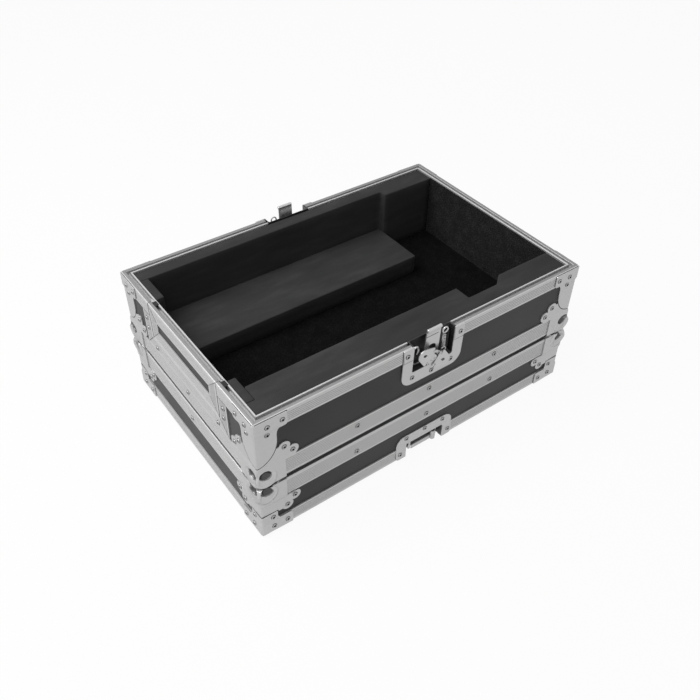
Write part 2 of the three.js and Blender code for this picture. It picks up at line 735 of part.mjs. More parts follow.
/** The base, standing on the lid. */
function makeBase() {
  const base = new THREE.Group();
  base.position.z = baseLevel;
  const pocket = cornerPocket();
  const cut = (solid) => withPockets(solid, pocket, 0, 1);
  const dishFoot = latchHeight - dishSill - dishWall - boardPlay;

  add(base, "base_floor_panel", cut(block([-halfLength + skin, -halfDepth + skin, skin],
    [halfLength - skin, halfDepth - skin, panelFoot])), "board");
  for (const side of ["front", "back"]) {
    const board = wallBoard(side, -halfLength + skin, halfLength - skin, panelFoot, basePanelTop)
      .subtract(sideCut(side, -dishCut, dishCut, dishFoot, baseHeight));
    add(base, `base_${side}_panel`, cut(board), "laminate");
  }
  const inner = halfDepth - skin - wall;
  const hatchEdge = hatchOpening / 2 + rimCrown;
  const left = wallBoard("left", -inner, inner, panelFoot, basePanelTop)
    .subtract(sideCut("left", -hatchEdge, hatchEdge, hatchSill - rimCrown, baseHeight));
  add(base, "base_left_panel", cut(left), "laminate");
  const handleEdge = handleDishHalf + dishWall + boardPlay;
  const right = wallBoard("right", -inner, inner, panelFoot, basePanelTop)
    .subtract(sideCut("right", -handleEdge, handleEdge,
      handleFoot - dishWall - boardPlay, handleTop + dishWall + boardPlay));
  add(base, "base_right_panel", cut(right), "laminate");

  const edging = placed(ring(caseLength, caseDepth, angleSection()), (x, y, z) => [x, y, z]);
  add(base, "base_bottom_edging", cut(edging), "profile");
  addBaseRim(base);
  add(base, "hatch_opening_frame", hatchOpeningFrame(), "profile");

  const brace = baseBrace();
  const corner = baseBallCorner();
  for (const [name, [sx, sy]] of Object.entries(cornerNames)) {
    add(base, `base_corner_brace_${name}`, moved(brace, cornerPlace(sx, sy, 0, 1)), "plate");
    add(base, `base_ball_corner_${name}`, moved(corner, cornerPlace(sx, sy, 0, 1)), "ballSteel");
  }
  addFoam(base);
  add(base, "handle_dish", moved(handleDish(), sides.right), "plate");
  add(base, "handle_bail", moved(handleBail(), sides.right), "grip");

  add(base, "hatch_frame", hatchFrame(), "profile");
  const sill = hatchSill + hatchPlay;
  const halfPanel = hatchOpening / 2 - hatchPlay - rimCrown;
  add(base, "hatch_panel",
    wallBoard("left", -halfPanel, halfPanel, sill + rimCrown, basePanelTop), "laminate");
  return base;
}

// Carrying handle, in a frame of distances along the side, in from its outer face and up

const handlePlateFoot = angleLeg + handlePlateEdge;
const handlePlateTop = baseFaceFoot - handlePlateEdge;
const handleFoot = handlePlateFoot + handleRim;
const handleTop = handlePlateTop - handleRim;
const bailAxis = handleTop - bailAxisDrop;

/** The recessed dish that the bail folds into, with a lug at each end of its hinge. */
function handleDish() {
  const radii = [handlePlateRound, handlePlateRound, handlePlateRound, handlePlateRound];
  const shape = roundedRectangle(-handlePlateHalf, handlePlateFoot, handlePlateHalf, handlePlateTop, radii);
  const flange = prism(shape, (u, v, w) => [u, w ? skin : 0, v]);
  const tub = block([-handleDishHalf - dishWall, 0, handleFoot - dishWall],
    [handleDishHalf + dishWall, dishDepth, handleTop + dishWall]);
  const hollow = block([-handleDishHalf, -overrun, handleFoot], [handleDishHalf, dishFloor, handleTop]);
  const lug = (from, to) => block([from, skin, bailAxis - hingeLugHalf],
    [to, dishFloor, bailAxis + hingeLugHalf]);
  return flange.add(tub).subtract(hollow)
    .add(lug(-handleDishHalf, -bailHalf - hingeLug))
    .add(lug(bailHalf + hingeLug, handleDishHalf));
}

/** The bail: a round grip between two arms, hung from a bar that ends just short of the lugs. */
function handleBail() {
  const bar = (radius, from, to, level) => {
    const geometry = new THREE.CylinderGeometry(radius, radius, 1, arcSteps * 4);
    return placed(geometry, (u, v, w) => [v < 0 ? from : to, bailDepth + u, level + w]);
  };
  const arm = (middle) => block([middle - bailArm, bailDepth - bailArm / 2, bailAxis - bailGripDrop],
    [middle + bailArm, bailDepth + bailArm / 2, bailAxis]);
  const pivotEnd = bailHalf + hingeLug - runningPlay;
  return bar(bailGripRadius, -bailHalf - bailArm, bailHalf + bailArm, bailAxis - bailGripDrop)
    .add(arm(-bailHalf)).add(arm(bailHalf))
    .add(bar(bailArm, -pivotEnd, -bailHalf + bailArm, bailAxis))
    .add(bar(bailArm, bailHalf - bailArm, pivotEnd, bailAxis));
}

// Butterfly latch, in a frame whose origin is its rotor's axis on the case's outer face

/** The latch's dish: a plate that steps out over the rim, a tub open at the rim, and a post. */
function latchDish() {
  const rim = baseHeight - latchHeight;
  const step = baseFaceFoot - latchHeight - seatGap;
  const shape = roundedRectangle(-plateHalf, -plateDrop, plateHalf, rim, [plateRound, plateRound, 0, 0]);
  const over = prism(shape, (u, v, w) => [u, w ? 0 : -skin, v]);
  const under = prism(shape, (u, v, w) => [u, w ? skin : 0, v]);
  const joggle = prism(shape, (u, v, w) => [u, w ? skin : -skin, v]);
  const belt = (low, high) => block([-plateHalf, -overrun, low], [plateHalf, overrun, high]);
  const flange = under.intersect(belt(-plateDrop, step))
    .add(over.intersect(belt(step - skin, rim)))
    .add(joggle.intersect(belt(step - skin, step)));
  const tub = block([-dishHalf - dishWall, 0, -dishSill - dishWall], [dishHalf + dishWall, dishDepth, rim]);
  const hollow = block([-dishHalf, -overrun, -dishSill], [dishHalf, dishFloor, rim + overrun]);
  const post = rod(postRadius, postFront, dishFloor + dishBackWall / 2, 0, 0)
    .subtract(rod(stemRadius + runningPlay, 0, postFront + stemLength + runningPlay, 0, 0));
  return flange.add(tub).subtract(hollow).add(post);
}

/** The rotor: a stem in the post, a disc in the dish's mouth, and a yoke whose lugs hold the wings. */
function latchRotor() {
  const discBack = postFront - runningPlay;
  const lugFoot = leafNeckHalf + runningPlay;
  const lugTop = lugFoot + lugThickness;
  const yokeHalf = leafAxis + lugHalf;
  let rotor = rod(stemRadius, 0, discBack + stemLength, 0, 0)
    .add(rod(rotorRadius, -yokeFront, discBack, 0, 0, arcSteps * 6))
    .add(rod(bossRadius, -yokeFront - bossHeight, 0, 0, 0))
    .add(block([-yokeHalf, -yokeFront, -lugTop], [yokeHalf, -yokeBack, lugTop]));
  for (const side of [-1, 1]) {
    const middle = side * leafAxis;
    const lug = (low) => block([middle - lugHalf, -lugRise, low],
      [middle + lugHalf, -yokeBack, low + lugThickness]);
    rotor = rotor.add(lug(-lugTop)).add(lug(lugFoot))
      .subtract(pinBar(side, pinRadius + runningPlay, lugTop + overrun));
  }
  return rotor;
}

/** A bar along a wing's hinge, from one end to the other of its length. */
function pinBar(side, radius, half) {
  const geometry = new THREE.CylinderGeometry(radius, radius, 1, arcSteps * 3);
  const depth = -leafGap - leafThickness / 2;
  return placed(geometry, (u, v, w) => [side * leafAxis + u, depth + w, v < 0 ? -half : half]);
}

/** One wing: a plate that narrows to a round end, with a hole, a barrel and a pin. */
function latchWing(side) {
  const shape = new THREE.Shape();
  const tipCentre = leafTip - leafTipRadius;
  const rise = leafRootHalf - leafTipRadius;
  const lean = Math.atan2(rise, tipCentre - leafRoot);
  shape.moveTo(leafAxis, -leafNeckHalf);
  shape.lineTo(leafRoot, -leafNeckHalf);
  shape.lineTo(leafRoot, -leafRootHalf);
  shape.absarc(tipCentre, 0, leafTipRadius, -Math.PI / 2 + lean, Math.PI / 2 - lean);
  shape.lineTo(leafRoot, leafRootHalf);
  shape.lineTo(leafRoot, leafNeckHalf);
  shape.lineTo(leafAxis, leafNeckHalf);
  const hole = new THREE.Path();
  hole.absarc(leafHole, 0, leafHoleRadius, 0, Math.PI * 2);
  shape.holes.push(hole);
  const plate = prism(shape, (u, v, w) => [side * u, w ? -leafGap : -leafGap - leafThickness, v]);
  return plate
    .add(pinBar(side, barrelRadius, leafNeckHalf))
    .add(pinBar(side, pinRadius, leafNeckHalf + runningPlay + lugThickness));
}

/** The claw: a forked plate behind the rotor, leaning out above the rim, with a rolled lip. */
function latchClaw() {
  const inner = postRadius + runningPlay * 2;
  const front = clawBack - clawThickness;
  const profile = outline([
    [front, clawFoot], [clawBack, clawFoot], [clawBack, clawCrease],
    [clawBack - clawLean, clawTop], [front - clawLean, clawTop], [front, clawCrease],
  ]);
  const plate = prism(profile, (u, v, w) => [w ? clawHalf : -clawHalf, u, v]);
  const slot = block([-inner, -overrun, -overrun], [inner, dishFloor, clawSlotTop - inner])
    .add(rod(inner, -overrun, dishFloor, 0, clawSlotTop - inner));
  const roll = placed(new THREE.CylinderGeometry(clawRoll, clawRoll, 1, arcSteps * 4),
    (u, v, w) => [v < 0 ? -clawHalf : clawHalf, front - clawLean + u, clawTop + w]);
  return plate.subtract(slot).add(roll);
}

/** One latch on its side of the base. */
function makeLatch(name, side) {
  const latch = new THREE.Group();
  latch.position.set(0, side * halfDepth, latchHeight);
  latch.rotation.z = side > 0 ? Math.PI : 0;
  add(latch, `${name}_latch_dish`, latchDish(), "plate");
  add(latch, `${name}_latch_claw`, latchClaw(), "plate");
  const wings = new THREE.Group();
  wings.rotation.y = wingTurn;
  add(wings, `${name}_latch_rotor`, latchRotor(), "plate");
  add(wings, `${name}_latch_wing_low`, latchWing(1), "plate");
  add(wings, `${name}_latch_wing_high`, latchWing(-1), "plate");
  latch.add(wings);
  return latch;
}

const flightCase = new THREE.Group();
flightCase.name = "mixer_flight_case";
const base = makeBase();
base.add(makeLatch("front", -1), makeLatch("back", 1));
flightCase.add(makeLid(), base);

export default flightCase;
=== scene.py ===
"""Looks of an open road case for a ten-inch mixer, its base standing on its own lid.

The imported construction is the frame. Sizes here are millimetres, in the part's frame, and each
mesh is scaled to metres when it becomes an object. Faces of the case are measured as distances
along a side, up from the lid's or the base's own foot, and out from the case's outer face.
"""

from __future__ import annotations

import logging
import math
from dataclasses import dataclass, field
from enum import Enum, IntEnum
from functools import reduce
from operator import add
from typing import Callable, ClassVar, Sequence

import bmesh
import bpy
import numpy as np
from mathutils import Matrix, Vector, noise
from mathutils.geometry import delaunay_2d_cdt

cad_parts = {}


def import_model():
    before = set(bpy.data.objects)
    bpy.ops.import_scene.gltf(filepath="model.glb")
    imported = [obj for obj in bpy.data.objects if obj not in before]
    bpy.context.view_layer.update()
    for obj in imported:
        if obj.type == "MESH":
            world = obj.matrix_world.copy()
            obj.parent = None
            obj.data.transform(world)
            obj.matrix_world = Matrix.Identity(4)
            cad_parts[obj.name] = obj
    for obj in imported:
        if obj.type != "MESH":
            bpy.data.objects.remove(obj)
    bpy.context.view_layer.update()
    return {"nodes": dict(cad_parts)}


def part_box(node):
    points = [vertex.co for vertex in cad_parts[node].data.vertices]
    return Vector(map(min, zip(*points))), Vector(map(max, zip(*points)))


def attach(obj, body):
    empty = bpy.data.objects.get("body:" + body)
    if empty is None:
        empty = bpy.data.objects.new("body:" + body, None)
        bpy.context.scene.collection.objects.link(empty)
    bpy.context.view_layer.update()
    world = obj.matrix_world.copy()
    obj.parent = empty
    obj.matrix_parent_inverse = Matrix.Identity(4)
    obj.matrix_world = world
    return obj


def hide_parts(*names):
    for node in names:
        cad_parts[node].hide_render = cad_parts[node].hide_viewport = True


LOG = logging.getLogger("mixer_case")
MM = 0.001
SIGNS = (-1, 1)
WHITE = (1.0, 1.0, 1.0, 1.0)
NOISE_LOW, NOISE_HIGH = 0.3, 0.7
GRID_ROOM = 0.35
BAND_DEPTH = 0.3
BEVEL_ANGLE = 50.0
WIRE_SIDES = 8
Flat = tuple[float, float]
Point = tuple[float, float, float]
Place = Callable[[float, float, float], Point]


class Side(Enum):
    """A side of the case, by the sign of its outward direction along X and Y."""

    FRONT = (0, -1)
    BACK = (0, 1)
    LEFT = (-1, 0)
    RIGHT = (1, 0)


class Corner(Enum):
    """A corner of the case, by its signs along X and Y."""

    FRONT_LEFT = (-1, -1)
    FRONT_RIGHT = (1, -1)
    BACK_LEFT = (-1, 1)
    BACK_RIGHT = (1, 1)


class Half(Enum):
    """Which half of the case a piece belongs to, named as its body."""

    LID = "lid"
    BASE = "base"


class Grain(Enum):
    """The direction of drawn or brushed lines, as noise scales per metre along X, Y and Z."""

    ALONG_X = (9.0, 1500.0, 1500.0)
    ALONG_Y = (1500.0, 9.0, 1500.0)
    ALONG_Z = (1500.0, 1500.0, 9.0)
    EVEN = (420.0, 420.0, 420.0)


class ProfileSlot(IntEnum):
    """The material slots of a profile."""

    ALONG_X = 0
    ALONG_Y = 1
    ALONG_Z = 2
    # Slots 3 to 6 are painted shade: rib floors, the crown's top, gaps and the groove.
    RIB = 3
    LAND = 4
    HOLE = 5
    GROOVE = 6


@dataclass(frozen=True)
class Wire:
    """A node's output that takes part in arithmetic; each operation adds one Math node."""

    graph: "Graph"
    socket: bpy.types.NodeSocket

    def join(self, operation: str, first: "Wire | float", second: "Wire | float") -> "Wire":
        """Adds a Math node of one operation on two values, and returns its result."""
        made = self.graph.node("ShaderNodeMath", {"operation": operation}, {0: first, 1: second})
        return Wire(self.graph, made.outputs[0])

    def __add__(self, other: "Wire | float") -> "Wire":
        """The sum."""
        return self.join("ADD", self, other)

    def __radd__(self, other: float) -> "Wire":
        """The sum, from the right."""
        return self.join("ADD", other, self)

    def __sub__(self, other: "Wire | float") -> "Wire":
        """The difference."""
        return self.join("SUBTRACT", self, other)

    def __rsub__(self, other: float) -> "Wire":
        """The difference, from the right."""
        return self.join("SUBTRACT", other, self)

    def __mul__(self, other: "Wire | float") -> "Wire":
        """The product."""
        return self.join("MULTIPLY", self, other)

    def __rmul__(self, other: float) -> "Wire":
        """The product, from the right."""
        return self.join("MULTIPLY", other, self)


@dataclass(frozen=True)
class Layer:
    """One noise over a piece.

    Attributes:
        scale: Noise cells per metre along X, Y and Z.
        detail: Its octaves.
        offset: A shift of its pattern.
        share: Its part in a matt surface's tone.
    """

    scale: Point
    detail: float
    offset: Point = (0.0, 0.0, 0.0)
    share: float = 0.0


def even(cells: float) -> Point:
    """The same noise scale along every axis."""
    return cells, cells, cells


class Graph:
    """A node tree that is built with one call for each node."""

    def __init__(self, tree: bpy.types.NodeTree) -> None:
        """Empties a tree and keeps it."""
        self.tree = tree
        tree.nodes.clear()

    def node(self, kind: str, settings: dict | None = None,
             inputs: dict | None = None) -> bpy.types.Node:
        """Adds a node of any type.

        Args:
            kind: The node's type.
            settings: Properties that are set first; "stops" are a ramp's (place, grey) pairs.
            inputs: Values, wires or sockets for the node's inputs, by name or number.

        Returns:
            The new node.
        """
        made = self.tree.nodes.new(kind)
        for key, value in (settings or {}).items():
            if key == "stops":
                self._set_stops(made.color_ramp, value)
            else:
                setattr(made, key, value)
        for key, value in (inputs or {}).items():
            self.feed(made.inputs[key], value)
        return made

    @staticmethod
    def _set_stops(ramp: bpy.types.ColorRamp, stops: Sequence[Flat]) -> None:
        """Sets a colour ramp's stops.

        Args:
            ramp: The ramp.
            stops: Its (place, grey) pairs.
        """
        while len(ramp.elements) < len(stops):
            ramp.elements.new(1.0)
        for element, (place, grey) in zip(ramp.elements, stops):
            element.position = place
            element.color = (grey, grey, grey, 1.0)

    def feed(self, socket: bpy.types.NodeSocket, value: object) -> None:
        """Links an input, or sets its value.

        Args:
            socket: The input.
            value: A wire or socket to link, or a value.
        """
        if isinstance(value, Wire):
            self.tree.links.new(value.socket, socket)
        elif isinstance(value, bpy.types.NodeSocket):
            self.tree.links.new(value, socket)
        else:
            socket.default_value = value

    def noise(self, layer: Layer) -> Wire:
        """Adds noise over the piece's own coordinates.

        Args:
            layer: Its scale, detail and offset.

        Returns:
            A value around one half.
        """
        place = self.node("ShaderNodeTexCoord").outputs["Object"]
        mapped = self.node("ShaderNodeMapping", {}, {
            "Vector": place, "Scale": layer.scale, "Location": layer.offset})
        made = self.node("ShaderNodeTexNoise", {}, {
            "Vector": mapped.outputs[0], "Scale": 1.0, "Detail": layer.detail})
        return Wire(self, made.outputs[0])

    def tone(self, surface: bpy.types.Node, factor: Wire, stops: Sequence[Flat]) -> None:
        """Feeds a grey ramp of (place, grey) stops to a surface's colour."""
        ramp = self.node("ShaderNodeValToRGB", {"stops": stops}, {0: factor})
        self.feed(surface.inputs["Base Color"], ramp.outputs[0])

    def relief(self, surface: bpy.types.Node, strength: float, depth: float, height: Wire) -> None:
        """Feeds a bump to a surface's normal.

        Args:
            surface: The Principled node.
            strength: The bump's strength.
            depth: Its depth in millimetres.
            height: Its height.
        """
        made = self.node("ShaderNodeBump", {}, {
            "Strength": strength, "Distance": depth * MM, "Height": height})
        self.feed(surface.inputs["Normal"], made.outputs[0])


@dataclass(frozen=True)
class Finish:
    """What every finish has: a name and a Principled surface.

    Attributes:
        name: The material's name.
        tone: The grey of the surface, linear.
        roughness: The middle of its roughness.
        metallic: How metallic it is.
        shine: The strength of its clear reflection, 0.5 for an even plastic.
    """

    name: str
    tone: float
    roughness: float
    metallic: float = 0.0
    shine: float = 0.5

    def material(self, grain: Grain = Grain.EVEN) -> bpy.types.Material:
        """The finish as a material, made once for each grain.

        Args:
            grain: The direction of its lines.

        Returns:
            The material.
        """
        name = f"{self.name}_{grain.name.lower()}"
        if name in bpy.data.materials:
            return bpy.data.materials[name]
        made = bpy.data.materials.new(name)
        made.use_nodes = True
        graph = Graph(made.node_tree)
        surface = graph.node("ShaderNodeBsdfPrincipled", {}, {
            "Metallic": self.metallic, "Roughness": self.roughness,
            "Specular IOR Level": self.shine})
        graph.node("ShaderNodeOutputMaterial", {}, {"Surface": surface.outputs[0]})
        self.dress(graph, surface, grain)
        return made

    def dress(self, graph: Graph, surface: bpy.types.Node, grain: Grain) -> None:
        """Feeds the surface what varies over it, by the direction of its lines."""
        raise NotImplementedError


@dataclass(frozen=True)
class MetalFinish(Finish):
    """Sheet or extruded metal with fine lines, clouding and small marks.

    Attributes:
        line_share: How much the fine lines change the tone.
        cloud_share: How much soft clouding changes the tone.
        depth: The depth of the lines' relief, in millimetres.
        edge: How much it mirrors where it turns away from the eye.
    """

    metallic: float = 0.72
    line_share: float = 0.08
    cloud_share: float = 0.06
    depth: float = 0.02
    edge: float = 0.8
    clouds: ClassVar[Layer] = Layer(even(24.0), 3.0, (3.1, 1.7, 5.3))
    marks: ClassVar[Layer] = Layer(even(260.0), 4.0, (0.4, 2.2, 1.1))
    tone_swing: ClassVar[float] = 0.5
    cloud_rough: ClassVar[float] = 0.16
    line_rough: ClassVar[float] = 0.1
    bump: ClassVar[float] = 0.5

    def dress(self, graph: Graph, surface: bpy.types.Node, grain: Grain) -> None:
        """Feeds lines, clouds and marks to the tone, roughness and relief.

        Args:
            graph: The material's graph.
            surface: Its Principled node.
            grain: The direction of its lines.
        """
        lines = graph.noise(Layer(grain.value, 2.0))
        clouds, marks = graph.noise(self.clouds), graph.noise(self.marks)
        mixed = lines * self.line_share + clouds * self.cloud_share + marks * self.cloud_share
        level = mixed - (self.line_share + self.cloud_share * 2) / 2 + 0.5
        swing = self.tone_swing
        graph.tone(surface, level, [(0.0, self.tone * (1 - swing)), (1.0, self.tone * (1 + swing))])
        rough = (self.roughness + (clouds - 0.5) * self.cloud_rough
                 + (lines - 0.5) * self.line_rough)
        graph.feed(surface.inputs["Roughness"], rough)
        graph.relief(surface, self.bump, self.depth, lines)
        graph.feed(surface.inputs["Specular Tint"], (self.edge, self.edge, self.edge, 1.0))


@dataclass(frozen=True)
class Coat:
    """How a matt surface varies.

    Attributes:
        layers: Its noises; the first is also its relief, the second its change of roughness.
        tones: Its darkest, middle and palest tone, as shares of the finish's tone.
        bump: The strength of the relief.
        depth: The depth of the relief, in millimetres.
        rough_share: How much the second noise changes the roughness.
    """

    layers: tuple[Layer, ...]
    tones: tuple[float, ...]
    bump: float
    depth: float
    rough_share: float = 0.2


PEBBLED = Coat((Layer(even(1400.0), 2.0, share=0.55),
                Layer(even(16.0), 3.0, (2.0, 0.5, 4.0), 0.45)), (0.78, 1.0, 1.25), 0.6, 0.05)
CELLED = Coat((Layer(even(1100.0), 3.0, share=0.2),
               Layer((11.0, 26.0, 26.0), 3.0, (7.0, 2.0, 0.0), 0.5),
               Layer((18.0, 90.0, 90.0), 4.0, (1.0, 8.0, 3.0), 0.3)), (0.68, 0.95, 1.45), 0.7, 0.12)
MATTED = Coat((Layer(even(520.0), 5.0, share=0.75), Layer(even(70.0), 3.0, (4.0, 4.0, 1.0), 0.25)),
              (0.4, 0.9, 2.6), 1.0, 0.5, rough_share=0.0)
PEELED = Coat((Layer(even(700.0), 2.0), Layer(even(45.0), 4.0, (1.0, 6.0, 2.0), 1.0)),
              (0.8, 1.0, 1.5), 0.4, 0.06)


@dataclass(frozen=True)
class MattFinish(Finish):
    """Laminate, foam, felt, paint or rubber, by its coat."""

    coat: Coat = PEELED

    def dress(self, graph: Graph, surface: bpy.types.Node, grain: Grain) -> None:
        """Feeds the coat's layers to the tone, roughness and relief.

        Args:
            graph: The material's graph.
            surface: Its Principled node.
            grain: The direction of its lines.
        """
        coat = self.coat
        wires = [graph.noise(layer) for layer in coat.layers]
        terms = (wire if layer.share == 1.0 else wire * layer.share
                 for wire, layer in zip(wires, coat.layers) if layer.share)
        places = np.linspace(NOISE_LOW, NOISE_HIGH, len(coat.tones))
        stops = [(place, self.tone * share) for place, share in zip(places, coat.tones)]
        graph.tone(surface, reduce(add, terms), stops)
        if coat.rough_share:
            rough = self.roughness + (wires[1] - 0.5) * coat.rough_share
            graph.feed(surface.inputs["Roughness"], rough)
        graph.relief(surface, coat.bump, coat.depth, wires[0])


ALUMINIUM = MetalFinish("profile_aluminium", 0.58, 0.4, metallic=0.62)
# Painted shade on the floors of the fine ribs.
RIB = MetalFinish("profile_rib", 0.33, 0.5)
# Painted shade on the crown's flat top and on the tongue.
LAND = MetalFinish("profile_land", 0.27, 0.5)
# Painted shade in the crown's groove.
GROOVE = MetalFinish("profile_groove", 0.42, 0.5)
PLATE = MetalFinish("plate_zinc", 0.55, 0.38, line_share=0.05, cloud_share=0.09)
BALL = MetalFinish("ball_zinc", 0.56, 0.3, line_share=0.02, cloud_share=0.08, depth=0.01,
                   edge=0.55)
# Painted shade in the ball corners' two hollows, and a darker painted shade where they are deepest.
HOLLOW_SHADE = MetalFinish("ball_hollow_painted_shade", 0.22, 0.3, line_share=0.05, cloud_share=0.2, depth=0.01,
                     edge=0.5)
HOLLOW_DEEP_SHADE = MetalFinish("hollow_core_painted_shade", 0.09, 0.3, line_share=0.05, cloud_share=0.3, depth=0.01,
                   edge=0.4)
RIVET = MetalFinish("rivet_zinc", 0.42, 0.48, line_share=0.02, cloud_share=0.05)
LATCH = MetalFinish("latch_zinc", 0.56, 0.33, line_share=0.05, cloud_share=0.08)
# Dark painted shade: the shadow ring round each rivet's head and the line under the claw's rolled
# lip.
SHADE = MetalFinish("painted_shade_zinc", 0.07, 0.5, line_share=0.05, cloud_share=0.2)
LAMINATE = MattFinish("black_laminate", 0.022, 0.5, shine=0.32, coat=PEBBLED)
INNER_BOARD = MattFinish("floor_felt", 0.005, 0.95, shine=0.04, coat=MATTED)
FOAM = MattFinish("charcoal_foam", 0.044, 0.9, shine=0.12, coat=CELLED)
FELT = MattFinish("wall_felt", 0.02, 0.95, shine=0.08, coat=MATTED)
BLACK_DISH = MattFinish("black_dish", 0.012, 0.4)
RUBBER = MattFinish("black_rubber", 0.02, 0.6)
# Near-black painted shade for gaps, folds, creases, the notch and the rivets' bores.
HOLE = MattFinish("dark_hole", 0.006, 0.8)


@dataclass
class Shape:
    """Points and faces gathered for one mesh; each face has a material slot."""

    points: list[Point] = field(default_factory=list)
    faces: list[list[int]] = field(default_factory=list)
    slots: list[int] = field(default_factory=list)

    def add(self, points: Sequence[Point], faces: Sequence[Sequence[int]], slot: int = 0) -> None:
        """Adds points and the faces among them.

        Args:
            points: The points.
            faces: Each face's corners, counted from the first of these points.
            slot: The faces' material slot.
        """
        start = len(self.points)
        self.points.extend(tuple(point) for point in points)
        self.faces.extend([start + index for index in face] for face in faces)
        self.slots.extend([int(slot)] * len(faces))

    def loft(self, loops: Sequence[Sequence[Point]], closed: bool = True, capped: bool = True,
             slot: int = 0, columns: Sequence[int] = (), cells: Sequence[int] = ()) -> None:
        """Joins loops of points into a skin.

        Args:
            loops: Loops with as many points each.
            closed: Whether each loop closes on itself; open loops are closed off at their ends.
            capped: Whether the first and last loops are filled.
            slot: The faces' material slot.
            columns: A slot for each column of faces, where they differ.
            cells: A slot for each face between the loops, where they differ.
        """
        begin, count, last = len(self.slots), len(loops[0]), len(loops) - 1
        faces = []
        for row in range(last):
            for column in range(count if closed else count - 1):
                after = (column + 1) % count
                faces.append([row * count + column, row * count + after,
                              (row + 1) * count + after, (row + 1) * count + column])
        if capped:
            faces.append(list(range(count - 1, -1, -1)))
            faces.append([last * count + index for index in range(count)])
        if not closed:
            starts = [row * count for row in range(last + 1)]
            faces.append(starts + [row * count + count - 1 for row in range(last, -1, -1)])
        self.add([point for loop in loops for point in loop], faces, slot)
        if columns:
            cells = list(columns) * last
        if len(cells):
            self.slots[begin:begin + len(cells)] = [int(value) for value in cells]

    def seam(self, path: Sequence[Flat], place: Place, width: float, out: float = 0.1,
             slot: int = 0) -> None:
        """Adds a narrow band of painted shade along a path on a face, where a gap or a fold shades
        it.

        Args:
            path: The path as (u, v) points.
            place: Puts a point from u, v and the distance out.
            width: The band's width.
            out: Its face's distance out.
            slot: Its material slot.
        """
        spots = np.array(path, float)
        run = np.gradient(spots, axis=0)
        run /= np.linalg.norm(run, axis=1)[:, None]
        loops = []
        for (u, v), (du, dv) in zip(spots, run):
            a = (u - dv * width / 2, v + du * width / 2)
            b = (u + dv * width / 2, v - du * width / 2)
            loops.append([place(*a, out), place(*b, out), place(*b, out - BAND_DEPTH),
                          place(*a, out - BAND_DEPTH)])
        self.loft(loops, slot=slot)

    def turn(self, profile: Sequence[Flat], place: Place, steps: int = 20, slot: int = 0,
             inner_from: int | None = None) -> None:
        """Turns a profile about an axis.

        Args:
            profile: (radius, height) points that start and end on the axis.
            place: Puts a point from two distances across the axis and one along it.
            steps: Faces round the axis.
            slot: The faces' material slot.
            inner_from: The profile point from which faces take the next slot.
        """
        turns = [math.tau * step / steps for step in range(steps)]
        loops = [[place(radius * math.cos(t), radius * math.sin(t), height) for t in turns]
                 for radius, height in profile]
        cut = len(loops) if inner_from is None else inner_from + 1
        self.loft(loops[:cut], capped=False, slot=slot)
        if cut < len(loops):
            self.loft(loops[cut - 1:], capped=False, slot=slot + 1)

    def rod(self, radius: float, ends: Sequence[float], place: Place, steps: int = 18,
            slot: int = 0) -> None:
        """Adds a round bar between two ends along its axis."""
        start, end = ends
        self.turn([(0.0, start), (radius, start), (radius, end), (0.0, end)], place, steps, slot)

    def sheet(self, outline: Sequence[Flat], place: Place, thickness: float, step: float,
              height: Callable[[float, float], float] = lambda u, v: 0.0,
              holes: Sequence[Sequence[Flat]] = ()) -> None:
        """Adds a pressed sheet: an outline filled with triangles on both faces.

        Args:
            outline: The outline as (u, v) points.
            place: Puts a point from u, v and the distance out.
            thickness: The sheet's thickness.
            step: The distance between points inside the outline.
            height: How far out its back lies at a point.
            holes: Outlines of holes.
        """
        spots, triangles = filled([np.array(loop) for loop in (outline, *holes)], step)
        count = len(spots)
        backs = [height(u, v) for u, v in spots]
        points = [place(u, v, back + thickness) for (u, v), back in zip(spots, backs)]
        points += [place(u, v, back) for (u, v), back in zip(spots, backs)]
        directed = {(face[k], face[(k + 1) % 3]) for face in triangles for k in range(3)}
        rims = [[b, a, a + count, b + count] for a, b in directed if (b, a) not in directed]
        under = [[index + count for index in reversed(face)] for face in triangles]
        self.add(points, triangles + under + sorted(rims))

    def tube(self, path: Sequence[Point], radius: float, place: Place,
             closed: bool = False) -> None:
        """Adds a round wire along a path.

        Args:
            path: The wire's middle line.
            radius: The wire's radius.
            place: Puts the path's points and the skin's.
            closed: Whether the wire joins its own start.
        """
        spots = np.array(path, float)
        run = np.gradient(spots, axis=0)
        if closed:
            run = np.roll(spots, -1, axis=0) - np.roll(spots, 1, axis=0)
        run /= np.linalg.norm(run, axis=1)[:, None]
        turns = np.linspace(0, math.tau, WIRE_SIDES + 1)[:-1]
        loops = []
        for spot, along in zip(spots, run):
            side = np.cross(along, (0.31, 0.22, 0.92))
            side /= np.linalg.norm(side)
            over = np.cross(along, side)
            skin = (spot + radius * (side * math.cos(t) + over * math.sin(t)) for t in turns)
            loops.append([place(*map(float, point)) for point in skin])
        if closed:
            loops.append(loops[0])
        self.loft(loops, capped=not closed)

    def block(self, low: Point, high: Point, place: Place, slot: int = 0) -> None:
        """Adds a block between two corners.

        Args:
            low: Its lowest corner.
            high: Its highest corner.
            place: Puts its corners.
            slot: The faces' material slot.
        """
        spots = [place(x, y, z) for z in (low[2], high[2]) for y in (low[1], high[1])
                 for x in (low[0], high[0])]
        self.add(spots, [[0, 2, 3, 1], [4, 5, 7, 6], [0, 1, 5, 4], [2, 6, 7, 3], [0, 4, 6, 2],
                         [1, 3, 7, 5]], slot)

